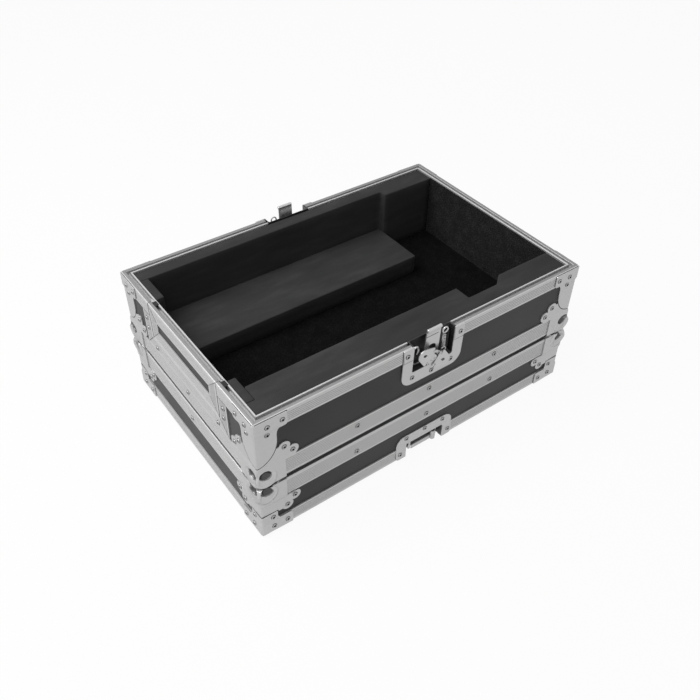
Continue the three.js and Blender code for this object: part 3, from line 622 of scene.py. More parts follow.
    def publish(self, name: str, body: str, slot_name: str, finishes: Sequence[bpy.types.Material],
                bevel: float = 0.0, sharp: float = 38.0, fine: bool = True) -> bpy.types.Object:
        """Makes the object, puts it on its body and hides the node that it replaces.

        Args:
            name: The node that it replaces, or its own name.
            body: The body that it rides on.
            slot_name: Not used.
            finishes: A material for each slot of the faces.
            bevel: The width of its rounded edges, in millimetres.
            sharp: The angle past which an edge stays sharp, in degrees.
            fine: Whether it replaces a node.

        Returns:
            The object.
        """
        title = f"fine_{name}" if fine else name
        mesh = bpy.data.meshes.new(title)
        scaled = [tuple(value * MM for value in point) for point in self.points]
        mesh.from_pydata(scaled, [], self.faces)
        mesh.polygons.foreach_set("material_index", self.slots)
        made = bmesh.new()
        made.from_mesh(mesh)
        bmesh.ops.remove_doubles(made, verts=made.verts, dist=2e-6)
        bmesh.ops.dissolve_degenerate(made, edges=made.edges, dist=1e-7)
        bmesh.ops.recalc_face_normals(made, faces=made.faces)
        made.to_mesh(mesh)
        made.free()
        for material in finishes:
            mesh.materials.append(material)
        mesh.shade_smooth()
        mesh.set_sharp_from_angle(angle=math.radians(sharp))
        piece = bpy.data.objects.new(title, mesh)
        bpy.context.scene.collection.objects.link(piece)
        if bevel:
            rounding = piece.modifiers.new("edges", "BEVEL")
            rounding.width = bevel * MM
            rounding.segments = 2
            rounding.limit_method = "ANGLE"
            rounding.angle_limit = math.radians(BEVEL_ANGLE)
            rounding.harden_normals = True
        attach(piece, body)
        if fine:
            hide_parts(name)
        LOG.info("%s: %d faces on %s", title, len(mesh.polygons), body)
        return piece


def inside(spots: np.ndarray, loops: Sequence[np.ndarray]) -> np.ndarray:
    """Which spots lie inside an outline and outside its holes, by the even-odd rule.

    Args:
        spots: Rows of (u, v).
        loops: The outline and its holes.

    Returns:
        True for each spot inside.
    """
    odd = np.zeros(len(spots), bool)
    for loop in loops:
        for (ax, ay), (bx, by) in zip(loop, np.roll(loop, -1, axis=0)):
            if ay == by:
                continue
            crosses = (spots[:, 1] >= min(ay, by)) & (spots[:, 1] < max(ay, by))
            odd ^= crosses & (spots[:, 0] < ax + (spots[:, 1] - ay) * (bx - ax) / (by - ay))
    return odd


def edge_gap(spots: np.ndarray, loops: Sequence[np.ndarray]) -> np.ndarray:
    """Each spot's distance to the nearest edge of the outlines.

    Args:
        spots: Rows of (u, v).
        loops: The outlines.

    Returns:
        The distances.
    """
    gap = np.full(len(spots), np.inf)
    for loop in loops:
        for start, end in zip(loop, np.roll(loop, -1, axis=0)):
            run = end - start
            length = float(run @ run)
            if length < 1e-12:
                continue
            share = np.clip(((spots - start) @ run) / length, 0, 1)
            gap = np.minimum(gap, np.linalg.norm(spots - start - share[:, None] * run, axis=1))
    return gap


def filled(loops: Sequence[np.ndarray], step: float) -> tuple[np.ndarray, list[list[int]]]:
    """Fills an outline with triangles over an even grid.

    Args:
        loops: The outline, then its holes.
        step: The grid's spacing.

    Returns:
        Rows of points, and the triangles among them.
    """
    low, high = loops[0].min(axis=0), loops[0].max(axis=0)
    axes = [np.arange(low[k] + step / 2, high[k], step) for k in (0, 1)]
    cells = np.stack(np.meshgrid(*axes), axis=-1).reshape(-1, 2)
    cells = cells[inside(cells, loops) & (edge_gap(cells, loops) > step * GRID_ROOM)]
    flat = [Vector(point) for loop in loops for point in loop] + [Vector(spot) for spot in cells]
    edges, start = [], 0
    for loop in loops:
        edges += [(start + k, start + (k + 1) % len(loop)) for k in range(len(loop))]
        start += len(loop)
    spots, _, triangles, *_ = delaunay_2d_cdt(flat, edges, [], 0, 1e-5)
    spots = np.array([[spot.x, spot.y] for spot in spots])
    triangles = np.array([list(face) for face in triangles])
    chosen = inside(spots[triangles].mean(axis=1), loops)
    return spots, [list(map(int, face)) for face in triangles[chosen]]


def arc(centre: Flat, radius: float, from_turn: float, to_turn: float,
        steps: int = 8) -> list[Flat]:
    """Points on an arc; turns are in degrees."""
    turns = np.radians(np.linspace(from_turn, to_turn, steps + 1))
    return [(centre[0] + radius * math.cos(t), centre[1] + radius * math.sin(t)) for t in turns]


def oval(centre: Point, radii: Flat, turns: Sequence[float]) -> list[Point]:
    """Points on part of an oval, all at one distance out; turns are in radians."""
    u, v, out = centre
    return [(u + radii[0] * math.cos(t), v + radii[1] * math.sin(t), out) for t in turns]


def rounded(left: float, low: float, right: float, high: float, radii: Sequence[float],
            steps: int = 8) -> list[Flat]:
    """A rectangle with a radius at each corner, from the lower left one round.

    Args:
        left: Its left edge.
        low: Its lower edge.
        right: Its right edge.
        high: Its upper edge.
        radii: A radius for each corner.
        steps: Steps in each arc.

    Returns:
        The outline.
    """
    centres = [(left, low, 1, 1, 180), (right, low, -1, 1, 270), (right, high, -1, -1, 0),
               (left, high, 1, -1, 90)]
    points: list[Flat] = []
    for (u, v, su, sv, turn), radius in zip(centres, radii):
        if radius:
            points += arc((u + su * radius, v + sv * radius), radius, turn, turn + 90, steps)
        else:
            points.append((u, v))
    return points


def open_mouth(half: float, floor: float, brim: float, radius: float, up: int) -> list[Flat]:
    """A mouth that is open at its brim, from left to right.

    Args:
        half: Half its width.
        floor: The level of its closed side.
        brim: The level of its open side.
        radius: The radius of its two corners.
        up: 1 where the brim is above the floor, -1 where it is below.

    Returns:
        The outline.
    """
    level, quarter = floor + up * radius, 180 + 90 * up
    return [(-half, brim), *arc((-half + radius, level), radius, 180, quarter, 5),
            *arc((half - radius, level), radius, quarter, 180 + 180 * up, 5), (half, brim)]


def pressed_steps(depth: float, bend: float, knee: float,
                  lip: Sequence[Flat] = ((-1.4, -0.6), (-0.2, -0.2), (0.0, -0.8))) -> list[Flat]:
    """A pressed dish's (inset, out) steps: up its back, over its lip, down to a rounded floor."""
    return [(-1.4, -depth - 1.2), *lip, (0.0, -depth + bend), (knee, -depth + knee),
            (bend, -depth)]


def smoothstep(value: float, low: float, high: float) -> float:
    """Rises smoothly from 0 at low to 1 at high."""
    share = min(max((value - low) / (high - low), 0.0), 1.0)
    return share * share * (3 - 2 * share)


def smooth_max(a: np.ndarray, b: np.ndarray, width: float) -> np.ndarray:
    """The larger of two fields, rounded where they meet."""
    share = np.maximum(width - np.abs(a - b), 0) / width
    return np.maximum(a, b) + share * share * width / 4


@dataclass(frozen=True)
class CaseFrame:
    """The case's levels and faces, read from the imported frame.

    Attributes:
        half_length: Half the case's length over its profiles.
        half_depth: Half its depth.
        lid_level: The lid's rim above the floor.
        lid_height: The lid's height.
        base_level: The base's bottom above the floor.
        base_height: The base's height.
        skin: A profile's thickness.
        wall: A board's thickness with its play.
    """

    half_length: float
    half_depth: float
    lid_level: float
    lid_height: float
    base_level: float
    base_height: float
    skin: float = 1.5
    wall: float = 9.5

    @classmethod
    def read(cls) -> "CaseFrame":
        """Takes the levels and faces from the boxes of the edging rings, a rim and a brace.

        Returns:
            The case's frame.
        """
        base_low, base_high = (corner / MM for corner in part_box("base_bottom_edging"))
        lid_top = (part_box("lid_top_edging")[1] / MM).z
        rim_top = (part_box("base_rim_right")[1] / MM).z
        lid_foot = (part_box("lid_corner_brace_front_left")[0] / MM).z
        return cls(half_length=base_high.x, half_depth=base_high.y, lid_level=lid_foot,
                   lid_height=lid_top - lid_foot, base_level=base_low.z,
                   base_height=rim_top - base_low.z)

    @property
    def thickness(self) -> float:
        """The rim profile's thickness over both legs."""
        return self.wall + self.skin * 2

    def level(self, half: Half) -> float:
        """The foot of the lid or the base above the floor."""
        return self.lid_level if half is Half.LID else self.base_level

    def on(self, side: Side, half: Half) -> Place:
        """Puts a point of a side's outer face.

        Args:
            side: The side.
            half: The lid or the base.

        Returns:
            A function of the distance along X or Y, the level in the half and the distance out.
        """
        foot = self.level(half)
        sx, sy = side.value
        if sx:
            return lambda along, level, out: (sx * (self.half_length + out), along, foot + level)
        return lambda along, level, out: (along, sy * (self.half_depth + out), foot + level)

    def at(self, corner: Corner, half: Half) -> Place:
        """Puts a point by its distances in from a corner's three outer faces.

        Args:
            corner: The corner.
            half: The lid, whose third face is its top, or the base, whose third is its bottom.

        Returns:
            The placing function.
        """
        sx, sy = corner.value
        is_lid = half is Half.LID
        foot, rise = (self.lid_level + self.lid_height, -1) if is_lid else (self.base_level, 1)
        return lambda x, y, z: (sx * (self.half_length - x), sy * (self.half_depth - y),
                                foot + rise * z)

    def folded(self, corner: Corner, half: Half, bend: float = 2.5) -> Place:
        """Puts a point of a sheet that is folded round a corner's upright edge.

        Args:
            corner: The corner.
            half: The lid or the base.
            bend: The fold's radius on the case's outer face.

        Returns:
            A function of the distance from the edge (below zero on the left or right side), the
            level in the half and the distance out.
        """
        sx, sy = corner.value
        foot = self.level(half)

        def place(run: float, level: float, out: float) -> Point:
            """Wraps the sheet round the edge.

            Args:
                run: The distance from the edge.
                level: The level in the half.
                out: The distance out.

            Returns:
                The point.
            """
            if run >= bend:
                x, y = run, -out
            elif run <= -bend:
                x, y = -out, -run
            else:
                turn = (1 - run / bend) * math.pi / 4
                x = bend - (bend + out) * math.sin(turn)
                y = bend - (bend + out) * math.cos(turn)
            return sx * (self.half_length - x), sy * (self.half_depth - y), foot + level

        return place


@dataclass
class Profiles:
    """Ribbed aluminium lengths: the rims of lid and base, and the angles on their outer edges."""

    case: CaseFrame
    base_face: float = 21.0
    lid_face: float = 22.0
    inner_leg: float = 14.0
    crown: float = 8.0
    outer_round: float = 1.4
    groove_inset: float = 5.6
    groove_width: float = 4.2
    groove_depth: float = 5.0
    shown_depth: float = 4.4
    tongue_height: float = 4.0
    tongue_width: float = 2.8
    tongue_inset: float = 6.3
    lip: float = 0.5
    angle_leg: float = 30.0
    angle_round: float = 1.2
    rib_pitch: float = 2.9
    rib_depth: float = 0.3
    rib_margin: float = 1.6
    # The depths, as shares of a rib's depth, whose faces take the ribs' painted shade.
    rib_shade_depths: Flat = (0.4, 1.01)
    rib_steps: tuple[Flat, ...] = ((0.62, 0.0), (0.7, 1.0), (0.92, 1.0), (1.0, 0.0))
    pocket: float = 36.3
    mitre_gap: float = 0.15
    dish_cut: float = 36.0
    catch_cut: float = 35.5
    hatch_half: float = 91.5
    notch_inset: float = 2.5
    notch_length: float = 16.0
    notch_share: float = 0.6
    notch_sink: Flat = (-0.05, 0.4)
    notch_wall: float = 1.2
    hatch_sill: float = 51.0
    hatch_play: float = 0.3
    seam_out: float = 0.1
    seam_over: float = 0.12
    seam_margin: float = 0.3
    shoulder_cuts: Point = (1.0, 12.0, 20.5)
    crown_cuts: Point = (0.8, 3.0, 5.0)
    panel_shift: float = 0.4
    panel_out: float = 0.15
    gap_seam: float = 0.5
    fold_seam: float = 0.6
    mitre_seam: float = 0.45
    panel_seam: float = 0.9

    def ribs(self, start: float, end: float) -> list[Flat]:
        """Fine grooves along a face.

        Args:
            start: Where the face starts.
            end: Where it ends.

        Returns:
            (place, depth) points from start to end.
        """
        sign = 1 if end > start else -1
        room = abs(end - start) - self.rib_margin * 2
        points = [(start, 0.0)]
        for index in range(max(int(room / self.rib_pitch), 0)):
            foot = start + sign * (self.rib_margin + index * self.rib_pitch)
            points += [(foot + sign * self.rib_pitch * share, depth * self.rib_depth)
                       for share, depth in self.rib_steps]
        return [*points, (end, 0.0)]

    def rim_section(self, face: float, has_tongue: bool = False,
                    groove_depth: float | None = None) -> list[Flat]:
        """The rim profile's section.

        Args:
            face: The outer leg's length.
            has_tongue: Whether the crown carries a tongue instead of a groove.
            groove_depth: The groove's depth, if it isn't the usual one.

        Returns:
            The section's closed outline as (inset, depth) points.
        """
        skin, lip, thick = self.case.skin, self.lip, self.case.thickness
        deep = self.shown_depth if groove_depth is None else groove_depth
        if has_tongue:
            near, far = self.tongue_inset, self.tongue_inset + self.tongue_width
            tip = -self.tongue_height
            middle = [(near, 0.0), (near, tip + lip), (near + lip, tip), (far - lip, tip),
                      (far, tip + lip), (far, 0.0)]
        else:
            near, far = self.groove_inset, self.groove_inset + self.groove_width
            middle = [(near - lip, 0.0), (near, lip), (near, deep), (far, deep), (far, lip),
                      (far + lip, 0.0)]
        return [
            *((inset, depth) for depth, inset in self.ribs(face, self.outer_round + lip)),
            *arc((self.outer_round, self.outer_round), self.outer_round, 180, 270, 5), *middle,
            (thick - lip, 0.0), (thick, lip), (thick, self.inner_leg),
            (thick - skin, self.inner_leg), (thick - skin, self.crown), (skin, self.crown),
            (skin, face),
        ]

    def notched_section(self) -> list[Flat]:
        """The base's rim section where the notch is cut."""
        return self.rim_section(self.base_face, groove_depth=self.crown - self.lip)

    def angle_section(self) -> list[Flat]:
        """The plain angle's section, ribbed on both faces.

        Returns:
            The section's closed outline as (inset, depth) points.
        """
        skin, leg, bend = self.case.skin, self.angle_leg, self.angle_round
        return [*((inset, depth) for depth, inset in self.ribs(leg, bend + self.lip)),
                *arc((bend, bend), bend, 180, 270, 4), *self.ribs(bend + self.lip, leg),
                (leg, skin), (skin, skin), (skin, leg)]

    def length(self, shape: Shape, section: Sequence[Flat], ends: Flat, place: Place, slot: int,
               mitres: Flat = (0, 0), leans: Flat = (0, 0)) -> None:
        """Adds a straight length of a section.

        Args:
            shape: Where it is added.
            section: (inset, depth) points.
            ends: Its ends along the side, at the outer face.
            place: Puts a point from along, depth and inset.
            slot: Its material slot.
            mitres: How far each end leans in for each millimetre of inset.
            leans: How far each end leans in for each millimetre of depth.
        """
        loops = [[place(end + sign * (inset * mitre + depth * lean), depth, inset)
                  for inset, depth in section]
                 for end, mitre, lean, sign in zip(ends, mitres, leans, (1, -1))]
        after = [*section[1:], section[0]]
        columns = [self.slot_of(a, b, slot) for a, b in zip(section, after)]
        shape.loft(loops, slot=slot, columns=columns)

    def slot_of(self, start: Flat, end: Flat, slot: int) -> int:
        """The material slot of one face of a section.

        Args:
            start: The face's first (inset, depth) point.
            end: Its last one.
            slot: The slot of the plain metal.

        Returns:
            The painted shade of a rib's floor, of the crown's top or tongue, or of its groove; else
            the plain metal.
        """
        inset, depth = (start[0] + end[0]) / 2, (start[1] + end[1]) / 2
        sunk = min(inset, depth)
        on_face = max(start[0], start[1]) > self.outer_round
        low, high = (share * self.rib_depth for share in self.rib_shade_depths)
        if on_face and low < sunk <= high:
            return ProfileSlot.RIB
        on_crown = self.outer_round < inset < self.groove_inset + self.groove_width + self.lip
        if on_crown and -self.tongue_height <= depth < self.groove_depth + 1e-6:
            return ProfileSlot.GROOVE if depth > 0 else ProfileSlot.LAND
        return slot

    def run(self, side: Side, half: Half, from_edge: float, sign: int) -> Place:
        """Puts a point from along, depth up (or down, where the sign is -1) an edge, and inset."""
        on = self.case.on(side, half)
        return lambda along, depth, inset: on(along, from_edge + sign * depth, -inset)

    def upright(self, edge: float, sign: int, foot: float, height: float) -> Place:
        """Puts a point of an upright length beside the hatch, from along, depth and inset.

        Args:
            edge: Its outer edge along the side.
            sign: Which way its depth goes along the side.
            foot: Its foot's level.
            height: Its height, which nothing passes.

        Returns:
            The placing function.
        """
        on = self.case.on(Side.LEFT, Half.BASE)
        return lambda along, depth, inset: on(edge + sign * depth, foot + min(along, height),
                                              -inset)

    def publish(self, shape: Shape, node: str, body: str) -> None:
        """Publishes profile in place of a node.

        Args:
            shape: Its lengths.
            node: The node.
            body: The body that it rides on.
        """
        metals = [ALUMINIUM.material(g) for g in (Grain.ALONG_X, Grain.ALONG_Y, Grain.ALONG_Z)]
        # Painted shade for rib floors, the crown's top, gaps and the groove.
        metals += [finish.material() for finish in (RIB, LAND, HOLE, GROOVE)]
        shape.publish(node, body, "profile_aluminium", metals)

    def edging(self, half: Half) -> None:
        """The angle on four edges, in lengths between the ball corners.

        Args:
            half: The lid or the base.
        """
        shape, section = Shape(), self.angle_section()
        is_lid = half is Half.LID
        edge, sign = (self.case.lid_height, -1) if is_lid else (0.0, 1)
        for side in Side:
            across = side in (Side.FRONT, Side.BACK)
            end = (self.case.half_length if across else self.case.half_depth) - self.pocket
            slot = ProfileSlot.ALONG_X if across else ProfileSlot.ALONG_Y
            self.length(shape, section, (-end, end), self.run(side, half, edge, sign), slot)
        self.publish(shape, "lid_top_edging" if is_lid else "base_bottom_edging", half.value)

    def lid_rim(self) -> None:
        """The lid's rim with its tongue, in two halves that stop at the catches."""
        section = self.rim_section(self.lid_face, True)
        for side, sign in ((Side.LEFT, -1), (Side.RIGHT, 1)):
            shape = Shape()
            far = self.case.half_length - self.mitre_gap
            for across in (Side.FRONT, Side.BACK):
                self.length(shape, section, sorted((sign * self.catch_cut, sign * far)),
                            self.run(across, Half.LID, 0.0, 1), ProfileSlot.ALONG_X,
                            mitres=(1, 0) if sign < 0 else (0, 1))
            end = self.case.half_depth - self.mitre_gap
            self.length(shape, section, (-end, end), self.run(side, Half.LID, 0.0, 1),
                        ProfileSlot.ALONG_Y, mitres=(1, 1))
            self.publish(shape, f"lid_rim_{side.name.lower()}_half", "lid")

    def base_rim(self) -> None:
        """The base's rim with its groove, cut at the latches and at the hatch."""
        section, top = self.rim_section(self.base_face), self.case.base_height
        end_x = self.case.half_length - self.mitre_gap
        end_y = self.case.half_depth - self.mitre_gap
        for side in (Side.FRONT, Side.BACK):
            for part, ends, mitres in (("left", (-end_x, -self.dish_cut), (1, 0)),
                                       ("right", (self.dish_cut, end_x), (0, 1))):
                shape = Shape()
                self.length(shape, section, ends, self.run(side, Half.BASE, top, -1),
                            ProfileSlot.ALONG_X, mitres=mitres)
                self.publish(shape, f"base_rim_{side.name.lower()}_{part}", "base")
        shape = Shape()
        self.length(shape, section, (-end_y, end_y), self.run(Side.RIGHT, Half.BASE, top, -1),
                    ProfileSlot.ALONG_Y, mitres=(1, 1))
        self.publish(shape, "base_rim_right", "base")
        place = self.run(Side.LEFT, Half.BASE, top, -1)
        shape = Shape()
        self.notched(shape, (-end_y, -self.hatch_half - self.notch_inset, -self.hatch_half),
                     place, (1, 0))
        self.publish(shape, "base_rim_left_front", "base")
        shape = Shape()
        self.length(shape, section, (self.hatch_half, end_y), place, ProfileSlot.ALONG_Y,
                    mitres=(0, 1))
        self.publish(shape, "base_rim_left_back", "base")

    def notched(self, shape: Shape, stops: Point, place: Place, mitres: Flat = (0, 0)) -> None:
        """Adds a length of the left rim with a notch cut into its groove.

        Args:
            shape: Where it is added.
            stops: Its start, the notch's end, and its end.
            place: Puts a point from along, depth and inset.
            mitres: The first part's mitres.
        """
        start, notch, end = stops
        plain, slot = self.rim_section(self.base_face), ProfileSlot.ALONG_Y
        self.length(shape, plain, (start, notch - self.notch_length), place, slot, mitres)
        self.length(shape, self.notched_section(), (notch - self.notch_length, notch), place, slot)
        # A thin near-black block of painted shade lies in the notch's cut.
        high, low = self.notch_sink
        shape.block((notch - self.notch_length * self.notch_share, high,
                     self.groove_inset - self.lip),
                    (notch, low, self.case.thickness - self.notch_wall),
                    self.run(Side.LEFT, Half.BASE, self.case.base_height, -1), ProfileSlot.HOLE)
        self.length(shape, plain, (notch, end), place, slot)

    def opening(self) -> None:
        """The U round the hatch's opening."""
        shape, section = Shape(), self.rim_section(self.base_face)
        sill, half = self.hatch_sill, self.hatch_half
        shoulder = self.case.base_height - self.base_face
        self.length(shape, section, (-half, half), self.run(Side.LEFT, Half.BASE, sill, -1),
                    ProfileSlot.ALONG_Y, leans=(-1, -1))
        height = shoulder - sill
        for sign in SIGNS:
            self.length(shape, section, (0.0, height),
                        self.upright(sign * half, sign, sill, height), ProfileSlot.ALONG_Z,
                        leans=(-1, 0))
        on = self.case.on(Side.LEFT, Half.BASE)
        # Near-black painted shade along the mitres at the sill's corners and the gaps at the
        # shoulders.
        for sign in SIGNS:
            fold = [(sign * (half + share), sill - share)
                    for share in np.linspace(self.seam_margin,
                                             self.base_face - self.seam_margin, 4)]
            shape.seam(fold, on, self.fold_seam, self.seam_over, ProfileSlot.HOLE)
            end = [(sign * (half + share), shoulder) for share in self.shoulder_cuts]
            shape.seam(end, on, self.gap_seam, self.seam_over, ProfileSlot.HOLE)
        self.publish(shape, "hatch_opening_frame", "base")

    def hatch(self) -> None:
        """The hatch's own frame with its tongue, and a groove in its head."""
        top, face, skin = self.case.base_height, self.base_face, self.case.skin
        half, sill = self.hatch_half - self.hatch_play, self.hatch_sill + self.hatch_play
        shape, tongue = Shape(), self.rim_section(self.base_face, True)
        self.length(shape, tongue, (-half, half), self.run(Side.LEFT, Half.BASE, sill, 1),
                    ProfileSlot.ALONG_Y, leans=(1, 1))
        height = top - sill
        for sign in SIGNS:
            self.length(shape, tongue, (0.0, height),
                        self.upright(sign * half, -sign, sill, height), ProfileSlot.ALONG_Z,
                        leans=(1, 1))
        on = self.case.on(Side.LEFT, Half.BASE)

        def head(along: float, depth: float, inset: float) -> Point:
            """Keeps the head's ends within their mitres."""
            end = half - max(depth, 0.0)
            return on(min(max(along, -end), end), top - depth, -inset)

        def over(along: float, inset: float, out: float) -> Point:
            """Puts a point on the crown."""
            return on(along, top + out, -inset)

        self.notched(shape, (-half, half - self.notch_inset, half), head)
        # Near-black painted shade along the panel's inner edges, the mitres, the side gaps and the
        # cuts in the crown.
        inner, foot = half - face, sill + face
        for path in ([(u, foot + self.panel_shift) for u in (-inner, 0.0, inner)],
                     [(inner - self.panel_shift, v) for v in (foot, top - face)]):
            shape.seam(path, on, self.panel_seam, self.panel_out - skin, ProfileSlot.HOLE)
        for sign in SIGNS:
            for low, high in ((sill, foot), (top, top - face)):
                mitre = [(sign * half, low), (sign * (half + inner) / 2, (low + high) / 2),
                         (sign * inner, high)]
                shape.seam(mitre, on, self.mitre_seam, self.seam_out, ProfileSlot.HOLE)
            edge = sign * (half + self.seam_out)
            shape.seam([(edge, v) for v in np.linspace(sill, top, 5)], on, self.gap_seam,
                       self.seam_out, ProfileSlot.HOLE)
            shape.seam([(edge, v) for v in self.crown_cuts], over, self.gap_seam,
                       self.seam_over, ProfileSlot.HOLE)
        self.publish(shape, "hatch_frame", "hatch")

    def make(self) -> None:
        """Makes every profile."""
        for half in Half:
            self.edging(half)
        for build in (self.lid_rim, self.base_rim, self.opening, self.hatch):
            build()


@dataclass
class CornerHardware:
    """Braces and ball corners, one of each on every corner of lid and base."""

    case: CaseFrame
    sheet: float = 1.5
    step: float = 2.6
    bevel: float = 0.45
    brace_top: float = 109.0
    arm: float = 45.0
    brace_half: float = 30.0
    brace_joggle: float = 89.0
    brace_fillet: float = 12.0
    tongue_foot: float = 70.5
    tongue_length: float = 36.0
    lid_half: float = 24.0
    lid_face: float = 22.0
    lid_foot: float = 0.4
    lid_top: float = 35.5
    corner_round: float = 4.0
    nick: float = 1.0
    joggle: float = 2.0
    leaf_arm: float = 39.0
    leaf_joggle: float = 30.3
    lobe_radius: float = 8.5
    lobe_near: float = 39.0
    lobe_far: float = 50.5
    lobe_end: float = 153.0
    leaf_gap: float = 1.1
    seam: float = 1.0
    seam_out: float = 0.1
    top_seam_out: float = 0.15
    lid_seam_rise: float = 0.3
    lid_seam_out: float = -0.1
    ball_radius: float = 19.5
    ball_inset: float = 16.5
    ball_rise: float = 5.0
    ball_reach: float = 30.0
    flat_press: float = 21.6
    press_radius: float = 15.0
    press_along: float = 11.0
    press_rise: float = 11.4
    lip: float = 2.9
    lip_start: float = 2.0
    lip_fade: float = 9.0
    lid_lip_loss: float = 0.45
    stack_gap: float = 8.0
    cup_play: float = 0.4
    dent_radius: float = 8.8
    dent_along: float = 10.8
    dent_out: float = 4.5
    dent_rise: float = 17.0
    lid_dent_rise: float = 4.0
    dent_squash: float = 1.25
    # How deep a hollow's cells lie before they take the darker painted shade.
    dent_deep_shade: float = 1.6
    face_sink: float = 0.12
    edge_blend: float = 4.7
    ball_blend: float = 3.0
    dent_blend: float = 1.6
    lip_blend: float = 1.2
    cup_blend: float = 0.6
    slices: int = 216
    rings: int = 120
    stride: float = 0.3
    first_reach: float = 2.0
    inner_reach: float = 17.0
    lid_eye: float = 12.0
    leaf_line: float = -0.8
    leaf_sink: float = 2.2
    lip_edge: float = 0.3
    skins: dict[Half, tuple[np.ndarray, np.ndarray]] = field(default_factory=dict)

    @staticmethod
    def mirrored(points: Sequence[Flat]) -> list[Flat]:
        """An outline from half of it, mirrored over the folded edge."""
        return list(points) + [(-u, v) for u, v in reversed(points) if u > 1e-6]

    def brace(self, corner: Corner, half: Half, outline: Sequence[Flat],
              back: Callable[[float, float], float],
              seams: Sequence[tuple[list[Flat], float]]) -> None:
        """Makes a folded brace.

        Args:
            corner: Its corner.
            half: The lid or the base.
            outline: Half its outline.
            back: How far out its back lies at a point.
            seams: The lines of painted shade beside its edges, on one side, each with its distance
                out.
        """
        shape, fold = Shape(), self.case.folded(corner, half)
        shape.sheet(self.mirrored(outline), fold, self.sheet, self.step, back)
        for sign in SIGNS:
            for path, out in seams:
                shape.seam([(sign * u, v) for u, v in path], fold, self.seam, out, 1)
        shape.publish(f"{half.value}_corner_brace_{corner.name.lower()}", half.value,
                      "plate_steel", [PLATE.material(Grain.ALONG_Z), HOLE.material()], self.bevel)

    def base_brace(self, corner: Corner) -> None:
        """The base's brace: an arm over the rim and a tapered tongue on the board.

        Args:
            corner: Its corner.
        """
        arm, half, top, step = self.arm, self.brace_half, self.brace_top, self.brace_joggle
        turns = np.radians(np.linspace(-90, 0, 15))
        tongue = [(half * math.cos(t), self.tongue_foot + self.tongue_length * math.sin(t))
                  for t in turns]
        tongue[0] = (0.0, tongue[0][1])
        low, bend = (half, step - self.brace_fillet), (half, step)
        high = (arm - self.corner_round, step)
        fillet = [tuple((1 - share) ** 2 * low[k] + 2 * share * (1 - share) * bend[k]
                        + share ** 2 * high[k] for k in (0, 1)) for share in np.linspace(0, 1, 8)]
        r, nick = self.corner_round, self.nick
        outline = [*tongue, *fillet, *arc((arm - r, step + r), r, 270, 360, 5), (arm, top - nick),
                   (arm - nick, top), (0.0, top)]
        out = self.seam_out
        seams = [([(arm * share, top + out) for share in np.linspace(0, 1, 15)],
                  self.top_seam_out),
                 ([(arm + out, v) for v in np.linspace(step + r, top, 6)], out)]
        self.brace(corner, Half.BASE, outline,
                   lambda u, v: self.sheet * (smoothstep(v, step - self.joggle, step) - 1), seams)

    def lid_brace(self, corner: Corner) -> None:
        """The lid's brace: a short upright and an arm along the rim.

        Args:
            corner: Its corner.
        """
        arm, half, r, nick = self.arm, self.lid_half, self.corner_round, self.nick
        face, foot, top = self.lid_face, self.lid_foot, self.lid_top
        outline = [(0.0, foot), (arm - nick, foot), (arm, foot + nick),
                   *arc((arm - r, face - r), r, 0, 90, 5),
                   *arc((half + r, face + r), r, 270, 180, 5), (half, top - nick),
                   (half - nick, top), (0.0, top)]
        rise, out = self.lid_seam_rise, self.seam_out
        seams = [([(half * share, top + rise) for share in np.linspace(0, 1, 12)],
                  self.lid_seam_out),
                 ([(arm + out, v) for v in np.linspace(foot + nick, face - r, 6)], out)]
        self.brace(corner, Half.LID, outline,
                   lambda u, v: -self.sheet * smoothstep(v, face, face + self.joggle), seams)

    def lobes(self, foot: float, last: float) -> list[Flat]:
        """The two riveted lobes at the end of a leaf's arm.

        Args:
            foot: Where the arm's edge starts.
            last: The turn at which the upper lobe's arc ends, in degrees.

        Returns:
            The points from the arm's foot round both lobes.
        """
        near, far, r = self.lobe_near, self.lobe_far, self.lobe_radius
        rise = math.sqrt(r ** 2 - ((far - near) / 2) ** 2 * 2) / math.sqrt(2)
        valley = (near + far) / 2 + rise
        turn = math.degrees(math.atan2(valley - near, valley - far))
        return [(self.leaf_arm, foot), (self.leaf_arm, near - r),
                *arc((far, near), r, -90, turn, 9), *arc((near, far), r, 90 - turn, last, 9)[1:]]

    def leaf_half(self, half: Half) -> list[Flat]:
        """Half of the folded leaf's outline, up to the brace beside it.

        Args:
            half: The lid or the base.

        Returns:
            The outline.
        """
        side = math.degrees(math.acos(-self.press_along / self.press_radius))
        foot = math.degrees(math.asin((self.sheet + self.press_rise) / self.press_radius))
        points = [*arc((self.press_along, self.press_rise), self.press_radius, side, -foot, 24),
                  *self.lobes(-self.sheet, self.lobe_end)]
        last = points[-1][1]
        if half is Half.LID:
            edge = self.lid_half + self.leaf_gap
            top = self.case.lid_height - self.lid_top - self.leaf_gap
            return [*points, (edge, last), (edge, top), (0.0, top)]
        reach, drop = self.brace_half + self.leaf_gap, self.tongue_length + self.leaf_gap
        rows = [(reach * math.cos(t), self.tongue_foot + drop * math.sin(t))
                for t in np.linspace(0, -math.pi / 2, 200)]
        rows = [row for row in rows if row[1] < last][::8]
        return [*points, *rows, (0.0, self.tongue_foot - self.tongue_length - self.leaf_gap)]

    def flat_leaf(self) -> list[Flat]:
        """The leaf on the base's bottom or the lid's top.

        Returns:
            The outline.
        """
        side = math.degrees(math.acos(-self.ball_inset / self.flat_press))
        centre = (self.ball_inset, self.ball_inset)
        return [*self.lobes(0.0, 180), (0.0, self.leaf_arm),
                *arc(centre, self.flat_press, side, 90 - side, 24)]

